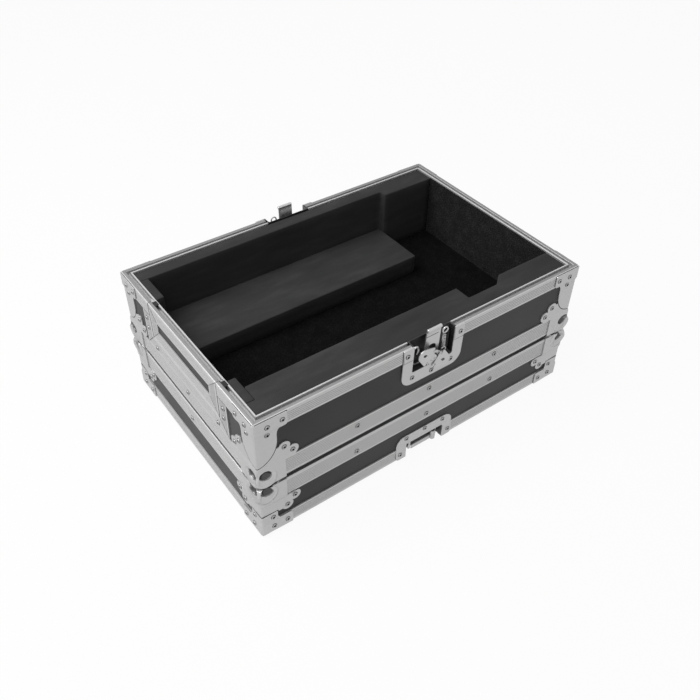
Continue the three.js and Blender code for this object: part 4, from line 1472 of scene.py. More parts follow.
    def dents(self, p: np.ndarray, half: Half) -> np.ndarray:
        """How deep points lie in the two hollows beside the upright edge.

        Args:
            p: Points in the corner's frame.
            half: The lid or the base.

        Returns:
            The depths.
        """
        is_base = half is Half.BASE
        rise = self.dent_rise if is_base else self.lid_dent_rise
        squash = np.array([1.0, 1.0, self.dent_squash if is_base else 1.0])
        spots = ((self.dent_along, -self.dent_out), (-self.dent_out, self.dent_along))
        depths = [self.dent_radius - np.linalg.norm((p - np.array([*spot, rise])) * squash, axis=-1)
                  for spot in spots]
        return np.maximum(*depths)

    def to_ball(self, p: np.ndarray, rise: float) -> np.ndarray:
        """How far points lie outside a ball whose middle is at a rise."""
        centre = np.array([self.ball_inset, self.ball_inset, rise])
        return np.linalg.norm(p - centre, axis=-1) - self.ball_radius

    def full(self, p: np.ndarray) -> np.ndarray:
        """How far points lie outside the ball before its hollows are pressed.

        Args:
            p: Points in the corner's frame.

        Returns:
            The distances.
        """
        x, y, z = p[..., 0], p[..., 1], p[..., 2]
        sink = self.sheet - self.face_sink
        sides = smooth_max(-x - sink, -y - sink, self.edge_blend)
        faces = smooth_max(sides, -z - sink, self.ball_blend)
        return -smooth_max(-self.to_ball(p, self.ball_rise), -faces, self.ball_blend)

    def around(self, p: np.ndarray) -> np.ndarray:
        """How far points lie from the pressing's middle, along the folded faces."""
        along = np.maximum(p[..., 0], p[..., 1]) - self.press_along
        return np.hypot(along, p[..., 2] - self.press_rise)

    def raised(self, p: np.ndarray, half: Half) -> np.ndarray:
        """How far points lie outside the raised lip round the hollows.

        Args:
            p: Points in the corner's frame.
            half: The lid or the base.

        Returns:
            The distances.
        """
        across = self.around(p) - (self.press_radius - self.lip)
        share = np.clip((p[..., 2] - self.press_rise - self.lip_start) / self.lip_fade, 0.0, 1.0)
        loss = 1.0 if half is Half.BASE else self.lid_lip_loss
        size = self.lip * (1.0 - loss * share)
        return np.hypot(across, np.minimum(p[..., 0], p[..., 1])) - size

    def distance(self, p: np.ndarray, half: Half) -> np.ndarray:
        """How far points lie outside the pressed ball.

        Args:
            p: Points in the corner's frame.
            half: The lid or the base.

        Returns:
            The distances.
        """
        solid = smooth_max(self.full(p), self.dents(p, half), self.dent_blend)
        solid = -smooth_max(-solid, -self.raised(p, half), self.lip_blend)
        if half is Half.LID:
            guest = self.to_ball(p, -self.stack_gap - self.ball_rise) - self.cup_play
            solid = smooth_max(solid, -guest, self.cup_blend)
        return solid

    def pressed(self, half: Half) -> tuple[np.ndarray, np.ndarray]:
        """The pressed ball's skin in the corner's frame, seen from a point inside it.

        Args:
            half: The lid or the base.

        Returns:
            Rows of points, and the material slot of each cell between them: the ball, or painted
            shade in the hollows, darker where they are deepest.
        """
        eye = self.ball_rise if half is Half.BASE else self.lid_eye
        centre = np.array([self.ball_inset, self.ball_inset, eye])
        rise = np.linspace(0, math.pi, self.rings + 1)
        turn = np.linspace(0, math.tau, self.slices, endpoint=False)
        up, around = np.meshgrid(rise, turn, indexing="ij")
        flat = np.sin(up)
        directions = np.stack([flat * np.cos(around), flat * np.sin(around), np.cos(up)], axis=-1)
        reach = np.arange(self.first_reach, self.ball_reach, self.stride)
        fields = np.stack([self.distance(centre + directions * r, half) for r in reach], axis=-1)
        outside = fields > 0
        first = np.argmax(outside, axis=-1)
        found = outside.any(axis=-1) & (first > 0)
        prior = np.maximum(first - 1, 0)
        after = np.take_along_axis(fields, first[..., None], -1)[..., 0]
        before = np.take_along_axis(fields, prior[..., None], -1)[..., 0]
        share = np.where(found, before / np.where(before == after, 1, before - after), 0)
        radius = np.where(found, reach[prior] + share * self.stride, self.inner_reach)
        spots = centre + directions * radius[..., None]
        under_leaf = spots[..., :2].min(axis=-1) < self.leaf_line
        beyond = np.where(under_leaf, self.around(spots) - self.press_radius, 0.0)
        spots = centre + directions * (radius - np.clip(beyond, 0.0, self.leaf_sink))[..., None]
        spots[..., :2] = np.maximum(spots[..., :2], self.ball_inset - self.ball_radius)
        following = np.roll(spots, -1, axis=1)
        middles = (spots[:-1] + spots[1:] + following[:-1] + following[1:]) / 4
        # Cells in the hollows take painted shade, and the deepest take a darker painted shade.
        depth = np.where(self.raised(middles, half) > self.lip_edge,
                         self.dents(middles, half) - self.full(middles), -1.0)
        return spots, (1 + (depth > 0.0) + (depth > self.dent_deep_shade)).ravel()

    def ball_corner(self, corner: Corner, half: Half) -> None:
        """A ball corner: a folded leaf on the two sides, a flat leaf, and the ball between them.

        Args:
            corner: Its corner.
            half: The lid or the base.
        """
        shape, at = Shape(), self.case.at(corner, half)
        folded, height = self.case.folded(corner, half), self.case.lid_height

        def upright(run: float, level: float, out: float) -> Point:
            """Puts a point of the folded leaf, which hangs upside down on the lid."""
            return folded(run, height - level if half is Half.LID else level, out)

        def back(v: float) -> float:
            """How far in the leaf steps past its joggle."""
            return -self.sheet * smoothstep(v, self.leaf_joggle, self.leaf_joggle + self.joggle)

        shape.sheet(self.mirrored(self.leaf_half(half)), upright, self.sheet, self.step,
                    lambda u, v: back(v))
        shape.sheet(self.flat_leaf(), lambda u, v, out: at(u, v, -out), self.sheet, self.step,
                    lambda u, v: back(min(u, v)))
        if half not in self.skins:
            self.skins[half] = self.pressed(half)
        spots, slots = self.skins[half]
        rows = [[at(*map(float, spot)) for spot in row] for row in spots]
        shape.loft(rows, capped=False, cells=slots)
        shape.publish(f"{half.value}_ball_corner_{corner.name.lower()}", half.value,
                      "ball_corner_steel",
                      [finish.material() for finish in (PLATE, BALL, HOLLOW_SHADE, HOLLOW_DEEP_SHADE)], self.bevel)

    def make(self) -> None:
        """Makes the hardware of every corner."""
        for corner in Corner:
            self.base_brace(corner)
            self.lid_brace(corner)
            self.ball_corner(corner, Half.BASE)
            self.ball_corner(corner, Half.LID)


@dataclass
class Rivets:
    """Domed blind rivets with an open middle, gathered for one body.

    Each spot is a place along a face and one across it, with the surface that it sits on third.
    """

    case: CaseFrame
    # The dome's faces from bore_from on line the bore in near-black painted shade.
    dome: tuple[Flat, ...] = (
        (3.0, -0.2), (3.0, 0.25), (2.7, 0.93), (1.98, 1.395), (2.2275, 1.5), (1.65, 1.2),
        (1.485, 0.15), (0.0, 0.1))
    bore_from: int = 5
    # A flat ring of painted shadow under each head.
    shadow: tuple[Flat, ...] = ((0.0, -0.2), (3.7, -0.2), (3.7, 0.1), (0.0, 0.12))
    sides: int = 16
    base_brace: tuple[Point, ...] = ((17.5, 98.0, 1.5), (17.5, 84.0, 0.0), (38.0, 99.0, 1.5))
    lid_brace: tuple[Point, ...] = ((17.0, 27.0, 0.0), (17.0, 11.0, 1.5), (37.0, 10.0, 1.5))
    lobes: tuple[Flat, ...] = ((50.5, 39.0), (39.0, 50.5))
    edging_along: tuple[float, ...] = (-118.0, 0.0, 118.0)
    base_edging: float = 19.5
    base_end_edging: float = 20.0
    lid_edging: float = 67.0
    latch_plate: tuple[Point, ...] = ((43.5, 98.5, 1.5), (32.5, 56.0, 0.0))
    latch_foot: float = 52.6
    catch_plate: tuple[Point, ...] = ((43.5, 11.0, 1.5), (32.5, 36.0, 0.0))
    catch_top: float = 37.3
    hatch_frame: tuple[Flat, ...] = ((84.5, 36.0), (104.0, 77.0), (103.0, 60.0))
    handle_plate: tuple[Flat, ...] = ((67.0, 37.0), (67.0, 82.0))
    shapes: dict[str, Shape] = field(default_factory=dict)

    def add(self, half: Half, place: Place, u: float, v: float, out: float = 0.0) -> None:
        """Adds a rivet.

        Args:
            half: The half that it rides on.
            place: Puts a point from two distances along a face and one out of it.
            u: Its place along the face.
            v: Its place across.
            out: The surface that it sits on.
        """
        shape = self.shapes.setdefault(half.value, Shape())

        def seat(a: float, b: float, n: float) -> Point:
            """Puts a point of the rivet."""
            return place(u + a, v + b, out + n)

        shape.turn(self.dome, seat, self.sides, inner_from=self.bore_from)
        shape.turn(self.shadow, seat, self.sides, 2)

    def corner(self, corner: Corner) -> None:
        """Rivets a corner's braces and leaves.

        Args:
            corner: The corner.
        """
        base, lid = (self.case.folded(corner, half) for half in (Half.BASE, Half.LID))
        for sign in SIGNS:
            for u, v, out in self.base_brace:
                self.add(Half.BASE, base, sign * u, v, out)
            for u, v, out in self.lid_brace:
                self.add(Half.LID, lid, sign * u, v, out)
            for u, v in self.lobes:
                self.add(Half.BASE, base, sign * u, v)
                self.add(Half.LID, lid, sign * u, self.case.lid_height - v)
        for half in Half:
            at = self.case.at(corner, half)
            for u, v in self.lobes:
                self.add(half, lambda a, b, n: at(a, b, -n), u, v)

    def make(self) -> None:
        """Places all rivets and publishes them."""
        on = self.case.on
        for corner in Corner:
            self.corner(corner)
        for side in (Side.FRONT, Side.BACK):
            base, lid = on(side, Half.BASE), on(side, Half.LID)
            for x in self.edging_along:
                self.add(Half.BASE, base, x, self.base_edging)
                self.add(Half.LID, lid, x, self.lid_edging)
            for half, place, spots, middle in (
                    (Half.BASE, base, self.latch_plate, self.latch_foot),
                    (Half.LID, lid, self.catch_plate, self.catch_top)):
                for x, level, out in spots:
                    for sign in SIGNS:
                        self.add(half, place, sign * x, level, out)
                self.add(half, place, 0.0, middle)
        for side in (Side.LEFT, Side.RIGHT):
            self.add(Half.BASE, on(side, Half.BASE), 0.0, self.base_end_edging)
            self.add(Half.LID, on(side, Half.LID), 0.0, self.lid_edging)
        for sign in SIGNS:
            for side, spots in ((Side.LEFT, self.hatch_frame), (Side.RIGHT, self.handle_plate)):
                for y, level in spots:
                    self.add(Half.BASE, on(side, Half.BASE), sign * y, level)
        materials = [finish.material() for finish in (RIVET, HOLE, SHADE)]
        for body, shape in self.shapes.items():
            shape.publish(f"{body}_rivets", body, "plate_steel", materials, sharp=50.0, fine=False)


@dataclass
class Latch:
    """A recessed butterfly latch, in a frame of along, up and out from its rotor's axis."""

    case: CaseFrame
    side: Side
    axis_level: float = 76.0
    plate_half: float = 50.0
    plate_drop: float = 31.0
    plate_round: float = 17.0
    nick: float = 0.8
    dish_half: float = 33.5
    dish_sill: float = 11.0
    dish_depth: float = 11.0
    dish_bend: Flat = (2.5, 0.7)
    dish_play: float = 0.4
    mouth_round: float = 3.0
    fold_drop: float = 1.2
    fold_ends: Flat = (0.6, 0.2)
    fold_seam: Flat = (0.5, 0.75)
    edge_shift: float = 0.2
    edge_stop: float = 0.5
    edge_seam: Flat = (0.9, 0.1)
    post: tuple[Flat, ...] = ((7.0, -11.5), (7.0, -1.6), (6.5, -1.1))
    rail_gap: float = 2.4
    rail_width: float = 3.2
    rail_ends: Flat = (-2.0, 26.0)
    rail_out: float = -6.5
    rim_foot: float = 13.0
    joggle: float = 2.0
    sheet: float = 1.5
    turn: float = 34.0
    eyelet_along: float = 22.0
    eyelet_rings: tuple[Flat, ...] = ((31.0, 4.2), (-1.5, 3.6))
    spring_along: float = 21.5
    spring_foot: float = 3.5
    spring_length: float = 22.5
    spring_radius: float = 2.0
    spring_turns: int = 9
    spring_wire: float = 0.7
    ring_wire: float = 1.1
    bows: tuple[tuple[Point, Flat, Flat, float], ...] = (
        ((-25.0, 17.0, -6.0), (4.5, 7.0), (-60.0, 120.0), 1.5),
        ((-19.0, -1.0, -7.5), (9.0, 6.0), (170.0, 330.0), 0.8))
    wire_out: float = -5.0
    disc: tuple[Flat, ...] = (
        (0.0, 0.7), (10.0, 0.7), (10.4, 0.9), (10.4, 1.0), (9.9, 1.4), (6.4, 1.4), (6.0, 1.1),
        (5.4, 1.1), (5.0, 1.5), (4.9, 2.3), (4.2, 3.1), (2.6, 3.5), (1.6, 3.4), (1.3, 2.6),
        (0.0, 2.5))
    stem: float = 3.0
    stem_ends: Flat = (0.9, -6.9)
    lugs: tuple[Flat, ...] = ((-10.9, -8.3), (8.3, 10.9))
    lug_out: Flat = (0.4, 1.3)
    boss: float = 5.9
    boss_shade: tuple[float, float, int] = (-20.0, 250.0, 30)
    knuckle: float = 1.6
    knuckle_out: float = 2.5
    leaf_tip: float = 31.0
    leaf_tip_radius: float = 9.0
    leaf_root_half: float = 15.0
    leaf_root: float = 9.2
    leaf_neck_half: float = 8.0
    leaf_hole: Point = (18.9, 3.4, 2.1)
    leaf_back: float = 2.0
    leaf_sheet: float = 1.6
    leaf_axis: float = 6.5
    leaf_tip_rise: float = 0.5
    leaf_root_drop: float = 0.25
    leaf_root_fade: float = 4.0
    barrel: float = 1.3
    pin: float = 0.8
    pin_reach: float = 2.9
    claw_half: float = 11.5
    claw_back: float = 5.5
    claw_sheet: float = 1.5
    claw_top: float = 46.0
    claw_crease: float = 36.0
    claw_lean: float = 2.0
    claw_roll: float = 2.4
    claw_foot: float = 1.0
    claw_fade: float = 1.5
    roll_share: float = 0.8
    roll_step: float = 0.6
    claw_seams: tuple[Point, ...] = ((2.2, 0.9, 0.15), (3.1, 1.0, 1.7))
    seam_end: float = 0.4
    fork: float = 7.6
    fork_top: float = 18.9

    @property
    def name(self) -> str:
        """The latch's name in the frame."""
        return self.side.name.lower()

    @property
    def top(self) -> float:
        """The rim's level above the axis."""
        return self.case.base_height - self.axis_level

    def place(self, along: float, up: float, out: float) -> Point:
        """Puts a point on the latch's side; the back latch is the front one turned half round.

        Args:
            along: The distance along the side.
            up: The level above the axis.
            out: The distance out of the case's face.

        Returns:
            The point.
        """
        sign = -self.side.value[1]
        level = self.case.base_level + self.axis_level + up
        return sign * along, -sign * (self.case.half_depth + out), level

    def turned(self, along: float, up: float, out: float) -> Point:
        """Puts a point that turns with the rotor."""
        c, s = math.cos(math.radians(self.turn)), math.sin(math.radians(self.turn))
        return self.place(along * c + up * s, up * c - along * s, out)

    def publish(self, shape: Shape, part: str, body: str,
                finishes: Sequence[bpy.types.Material], bevel: float) -> None:
        """Publishes a part of the latch in place of its node."""
        shape.publish(f"{self.name}_latch_{part}", body, "latch_steel", finishes, bevel)

    def dish(self) -> None:
        """The flange, stepped out over the rim, and the black dish behind its mouth."""
        shape, place, nick, top = Shape(), self.place, self.nick, self.top
        half, r, mouth, foot = self.plate_half, self.plate_round, self.dish_half, self.rim_foot
        plate = rounded(-half, -self.plate_drop, half, top, (r, r, 0, 0))
        rim = open_mouth(mouth, -self.dish_sill, top, self.mouth_round, 1)
        outline = [*plate[:-2], (half, top - nick), (half - nick, top), *reversed(rim),
                   (-half + nick, top), (-half, top - nick)]
        shape.sheet(outline, place, self.sheet, 2.6,
                    lambda u, v: self.sheet * (smoothstep(v, foot - self.joggle, foot) - 1))
        # Near-black painted shade below the flange's step and beside its upright edges.
        for sign in SIGNS:
            near, far = self.fold_ends
            fold = [(sign * u, foot - self.fold_drop) for u in (mouth + near, half - far)]
            shape.seam(fold, place, *self.fold_seam, 2)
            edge = [(sign * (half + self.edge_shift), v)
                    for v in np.linspace(foot, top - self.edge_stop, 5)]
            shape.seam(edge, place, *self.edge_seam, 2)
        radius = self.mouth_round + self.dish_play
        loops = [[place(u, v, out) for u, v in
                  open_mouth(mouth - inset, -self.dish_sill + inset, top, radius, 1)]
                 for inset, out in pressed_steps(self.dish_depth, *self.dish_bend)]
        shape.loft(loops, closed=False, slot=1)
        ends = (self.post[0][1], self.post[-1][1])
        shape.turn([(0.0, ends[0]), *self.post, (0.0, ends[1])], place, 28)
        for sign in SIGNS:
            edge = sign * (mouth - self.rail_gap)
            left, right = sorted((edge, edge - sign * self.rail_width))
            low, high = self.rail_ends
            shape.block((left, low, -self.dish_depth), (right, high, self.rail_out), place, 1)
        finishes = [PLATE.material(), BLACK_DISH.material(), HOLE.material()]
        self.publish(shape, "dish", "base", finishes, 0.35)

    def eyelets(self) -> None:
        """The spring with its two eyelets, a wire guide and a clip inside the dish."""
        shape = Shape()
        turns = np.linspace(0, math.tau, 25)[:-1]
        for up, radius in self.eyelet_rings:
            ring = oval((self.eyelet_along, up, self.wire_out), (radius, radius), turns)
            shape.tube(ring, self.ring_wire, self.place, closed=True)
        coil = np.linspace(0, math.tau * self.spring_turns, self.spring_turns * 10)
        radius = self.spring_radius
        shape.tube([(self.spring_along + radius * math.cos(t),
                     self.spring_foot + self.spring_length * t / coil[-1],
                     self.wire_out + radius * math.sin(t)) for t in coil], self.spring_wire,
                   self.place)
        for centre, radii, (start, end), wire in self.bows:
            bow = oval(centre, radii, np.radians(np.linspace(start, end, 14)))
            shape.tube(bow, wire, self.place)
        shape.publish(f"{self.name}_latch_eyelets", "base", "latch_steel", [LATCH.material()],
                      fine=False)

    def rotor(self) -> None:
        """The disc, its boss and the yoke's lugs."""
        shape = Shape()
        shape.turn(self.disc, self.turned, 36)
        shape.rod(self.stem, self.stem_ends, self.turned)
        half = self.leaf_axis + self.knuckle
        for low, high in self.lugs:
            back, front = self.lug_out
            shape.block((-half, low, back), (half, high, front), self.turned)
            for sign in SIGNS:
                middle = sign * self.leaf_axis
                dome = arc((middle, self.knuckle_out), self.knuckle, 0, 180, 8)
                profile = [(middle - self.knuckle, 0.5), (middle + self.knuckle, 0.5), *dome]
                shape.loft([[self.turned(u, v, n) for u, n in profile] for v in (low, high)])
        # An arc of near-black painted shade round the boss.
        shape.seam(arc((0.0, 0.0), self.boss, *self.boss_shade), self.turned, 1.3, 1.6, 1)
        self.publish(shape, "rotor", f"{self.name}_rotor", [LATCH.material(), HOLE.material()], 0.2)

    def wing(self, part: str, sign: int) -> None:
        """One wing: a pressed leaf with an oval hole, rolled round its pin.

        Args:
            part: Which wing, as the frame names it.
            sign: 1 for the wing on the right of the axis, -1 for the left one.
        """
        shape = Shape()
        r, tip = self.leaf_tip_radius, self.leaf_tip - self.leaf_tip_radius
        neck, root, half = self.leaf_neck_half, self.leaf_root, self.leaf_root_half
        lean = math.degrees(math.atan2(half - r, tip - root))
        side = [(self.leaf_axis, neck), (root, neck), (root, half - 1.5), (root + 1.4, half - 0.6)]
        outline = [*((u, -v) for u, v in side), *arc((tip, 0.0), r, -90 + lean, 90 - lean, 14),
                   *reversed(side)]
        along, long, short = self.leaf_hole
        turns = np.linspace(0, math.tau, 17)[:-1]
        hole = [(u, v) for u, v, _ in oval((along, 0.0, 0.0), (long, short), turns)]

        def height(u: float, v: float) -> float:
            """A shallow dish towards the tip and a raised edge at the root."""
            return (self.leaf_back + self.leaf_tip_rise * smoothstep(u, tip, self.leaf_tip)
                    - self.leaf_root_drop * smoothstep(u, root, root + self.leaf_root_fade))

        shape.sheet(outline, lambda u, v, n: self.turned(sign * u, v, n), self.leaf_sheet, 2.0,
                    height, [hole])
        middle, axis = self.leaf_back + self.leaf_sheet / 2, sign * self.leaf_axis
        for radius, reach in ((self.barrel, neck), (self.pin, neck + self.pin_reach)):
            shape.rod(radius, (-reach, reach),
                      lambda a, b, n: self.turned(axis + a, n, middle + b), 14)
        self.publish(shape, f"wing_{part}", f"{self.name}_wing_{part}", [LATCH.material()], 0.3)

    def claw(self) -> None:
        """The forked claw with its bent neck and rolled lip."""
        shape = Shape()
        half, fork, foot, top = self.claw_half, self.fork, self.claw_foot, self.claw_top
        outline = [(half, foot), (half, top), (-half, top), (-half, foot), (-fork, foot),
                   *arc((0.0, self.fork_top - fork), fork, 180, 0, 14), (fork, foot)]
        back = -self.claw_back

        def height(u: float, v: float) -> float:
            """Leans out above the crease."""
            return back + self.claw_lean * smoothstep(v, self.claw_crease - self.claw_fade, top)

        shape.sheet(outline, self.place, self.claw_sheet, 1.8, height)
        centre = back + self.claw_lean + self.claw_sheet
        profile = arc((centre, top), self.claw_roll, 0, 360, 20)[:-1]
        full, least = half - self.roll_step, self.roll_share
        ends = ((-half, least), (-full, 1.0), (full, 1.0), (half, least))
        shape.loft([[self.place(along, top + (v - top) * share, centre + (n - centre) * share)
                     for n, v in profile] for along, share in ends])
        face, end = back + self.claw_sheet, half - self.seam_end
        # Painted shade: a near-black line below the crease and a dark line below the rolled lip.
        for slot, (level, seam) in enumerate(zip((self.claw_crease, top), self.claw_seams), 1):
            drop, width, rise = seam
            shape.seam([(-end, level - drop), (end, level - drop)], self.place, width,
                       face + rise, slot)
        finishes = [LATCH.material(Grain.ALONG_Z), HOLE.material(), SHADE.material()]
        self.publish(shape, "claw", f"{self.name}_claw", finishes, 0.3)

    def make(self) -> None:
        """Makes the whole latch."""
        for build in (self.dish, self.eyelets, self.rotor):
            build()
        self.wing("low", 1)
        self.wing("high", -1)
        self.claw()


@dataclass
class LidCatch:
    """The plate on the lid that the claw hooks into: a dish open at the rim, with a keeper."""

    case: CaseFrame
    side: Side
    half: float = 50.0
    foot: float = 0.4
    foot_round: float = 5.0
    height: float = 41.5
    corner: float = 15.0
    mouth: float = 33.0
    mouth_round: float = 2.5
    sill: float = 24.0
    depth: float = 11.0
    rim_face: float = 22.0
    joggle: float = 2.0
    sheet: float = 1.5
    dish_bend: Flat = (2.2, 0.6)
    dish_play: float = 0.4
    keeper_half: float = 18.0
    keeper_level: float = 6.0
    keeper_reach: float = 6.0
    keeper_lip: float = 5.0
    keeper_sheet: float = 1.4
    keeper_rise: float = 1.5
    keeper_bend: Flat = (0.9, 0.8)
    seat: float = 0.3
    roller: tuple[Flat, ...] = (
        (0.0, 0.2), (3.4, 0.2), (4.2, 1.4), (4.2, 6.0), (3.6, 6.6), (3.6, 11.0), (4.4, 11.6),
        (4.4, 15.5), (3.6, 16.5), (0.0, 16.5))
    roller_gap: float = 2.5
    roller_out: float = -5.2
    cheeks: tuple[tuple[float, ...], ...] = ((-22.5, -19.0, 2.0, 20.0, 5.0),
                                             (26.5, 29.0, 1.0, 19.0, 4.0))

    def make(self) -> None:
        """Makes the plate, its dish and the keeper."""
        place, shape = self.case.on(self.side, Half.LID), Shape()
        r, foot, bend = self.corner, self.foot, self.foot_round
        high = rounded(-self.half, foot, self.half, self.height, (0, 0, r, r))
        outline = [*arc((-self.half + bend, foot + bend), bend, 180, 270, 5),
                   *open_mouth(self.mouth, self.sill, foot, self.mouth_round, -1),
                   *arc((self.half - bend, foot + bend), bend, 270, 360, 5), *high[2:]]
        face = self.rim_face
        shape.sheet(outline, place, self.sheet, 2.6,
                    lambda u, v: -self.sheet * smoothstep(v, face, face + self.joggle))
        radius = self.mouth_round + self.dish_play
        loops = [[place(u, v, out) for u, v in
                  open_mouth(self.mouth - inset, self.sill - inset, foot, radius, -1)]
                 for inset, out in pressed_steps(self.depth, *self.dish_bend)]
        shape.loft(loops, closed=False, slot=1)
        half, level, back = self.keeper_half, self.keeper_level, -self.depth - self.seat
        front, tip = self.keeper_reach - self.depth, self.keeper_level - self.keeper_lip
        (bend, drop), crown, inner = self.keeper_bend, level + self.keeper_rise, self.keeper_sheet
        section = [(crown, back), (crown, front - drop), (level + bend, front), (tip, front),
                   (tip, front - inner), (level, front - inner), (level, back)]
        shape.loft([[place(along, v, n) for v, n in section] for along in (-half, half)])
        shape.turn(self.roller, lambda a, b, n: place(half + self.roller_gap + a, n,
                                                      self.roller_out + b))
        for left, right, low, top, rise in self.cheeks:
            shape.block((left, low, back), (right, top, -self.depth + rise), place)
        shape.publish(f"lid_catch_{self.side.name.lower()}", "lid", "plate_steel",
                      [PLATE.material(), BLACK_DISH.material()], 0.35)


@dataclass
class Handle:
    """The recessed carrying handle on the right side."""

    case: CaseFrame
    plate_half: float = 75.0
    plate_low: float = 31.0
    plate_high: float = 88.0
    corner: float = 12.0
    mouth_half: float = 60.0
    mouth_rim: float = 9.0
    mouth_round: float = 4.0
    depth: float = 11.0
    sheet: float = 1.5
    dish_bend: Flat = (2.5, 0.7)
    dish_lip: tuple[Flat, ...] = ((-1.4, -1.7), (-0.3, -1.2), (0.0, -2.0))
    lug_gap: float = 5.0
    lug_half: float = 3.0
    bail_half: float = 50.0
    pin_reach: float = 4.7
    grip: float = 4.2
    grip_gap: float = 3.6
    grip_rings: int = 22
    grip_steps: tuple[Flat, ...] = ((0.02, 0.86), (0.2, 1.0), (0.8, 1.0), (0.98, 0.86))
    bar: float = 3.1
    arm: float = 3.0
    bail_depth: float = 5.4
    axis_drop: float = 5.0
    grip_drop: float = 27.0

    @property
    def axis(self) -> float:
        """The level of the bail's hinge."""
        return self.plate_high - self.mouth_rim - self.axis_drop

    def dish(self, place: Place) -> None:
        """The flange, the dish behind it and the hinge lugs.

        Args:
            place: Puts a point on the right side.
        """
        low, high = self.plate_low + self.mouth_rim, self.plate_high - self.mouth_rim
        radii, shape, half = [self.mouth_round] * 4, Shape(), self.mouth_half
        outline = rounded(-self.plate_half, self.plate_low, self.plate_half, self.plate_high,
                          [self.corner] * 4)
        shape.sheet(outline, place, self.sheet, 3.0, lambda u, v: -self.sheet,
                    [rounded(-half, low, half, high, radii, 5)])
        loops = [[place(u, v, out) for u, v in
                  rounded(-half + inset, low + inset, half - inset, high - inset, radii, 5)]
                 for inset, out in pressed_steps(self.depth, *self.dish_bend, self.dish_lip)]
        shape.loft(loops, slot=1)
        for sign in SIGNS:
            left, right = sorted((sign * (self.bail_half + self.lug_gap), sign * half))
            shape.block((left, self.axis - self.lug_half, -self.depth - 0.3),
                        (right, self.axis + self.lug_half, -1.5), place)
        shape.publish("handle_dish", "base", "plate_steel",
                      [PLATE.material(), BLACK_DISH.material()], 0.4)

    def bail(self, place: Place) -> None:
        """The steel bail and its ribbed rubber grip.

        Args:
            place: Puts a point on the right side.
        """
        axis, low, shape, half = self.axis, self.axis - self.grip_drop, Shape(), self.bail_half

        def along(level: float) -> Place:
            """Puts a point of a round piece along the side, at a level."""
            return lambda a, b, n: place(n, level + b, -self.bail_depth + a)

        for sign in SIGNS:
            for near, far in ((half, half + self.pin_reach), (half - self.arm, half)):
                shape.rod(self.arm, sorted((sign * near, sign * far)), along(axis), slot=1)
            shape.block((sign * half - self.arm, low, -self.bail_depth - 1.5),
                        (sign * half + self.arm, axis, -self.bail_depth + 1.5), place, 1)
        reach = half - self.grip_gap
        width = 2 * reach / self.grip_rings
        profile = [(0.0, -reach)]
        for index in range(self.grip_rings):
            start = -reach + 2 * reach * index / self.grip_rings
            profile += [(self.grip * radius, start + width * share)
                        for share, radius in self.grip_steps]
        shape.turn([*profile, (0.0, reach)], along(low))
        shape.rod(self.bar, (-half - self.arm, half + self.arm), along(low), slot=1)
        shape.publish("handle_bail", "handle", "handle_grip",
                      [RUBBER.material(), LATCH.material()], 0.3)

    def make(self) -> None:
        """Makes the handle."""
        place = self.case.on(Side.RIGHT, Half.BASE)
        self.dish(place)
        self.bail(place)


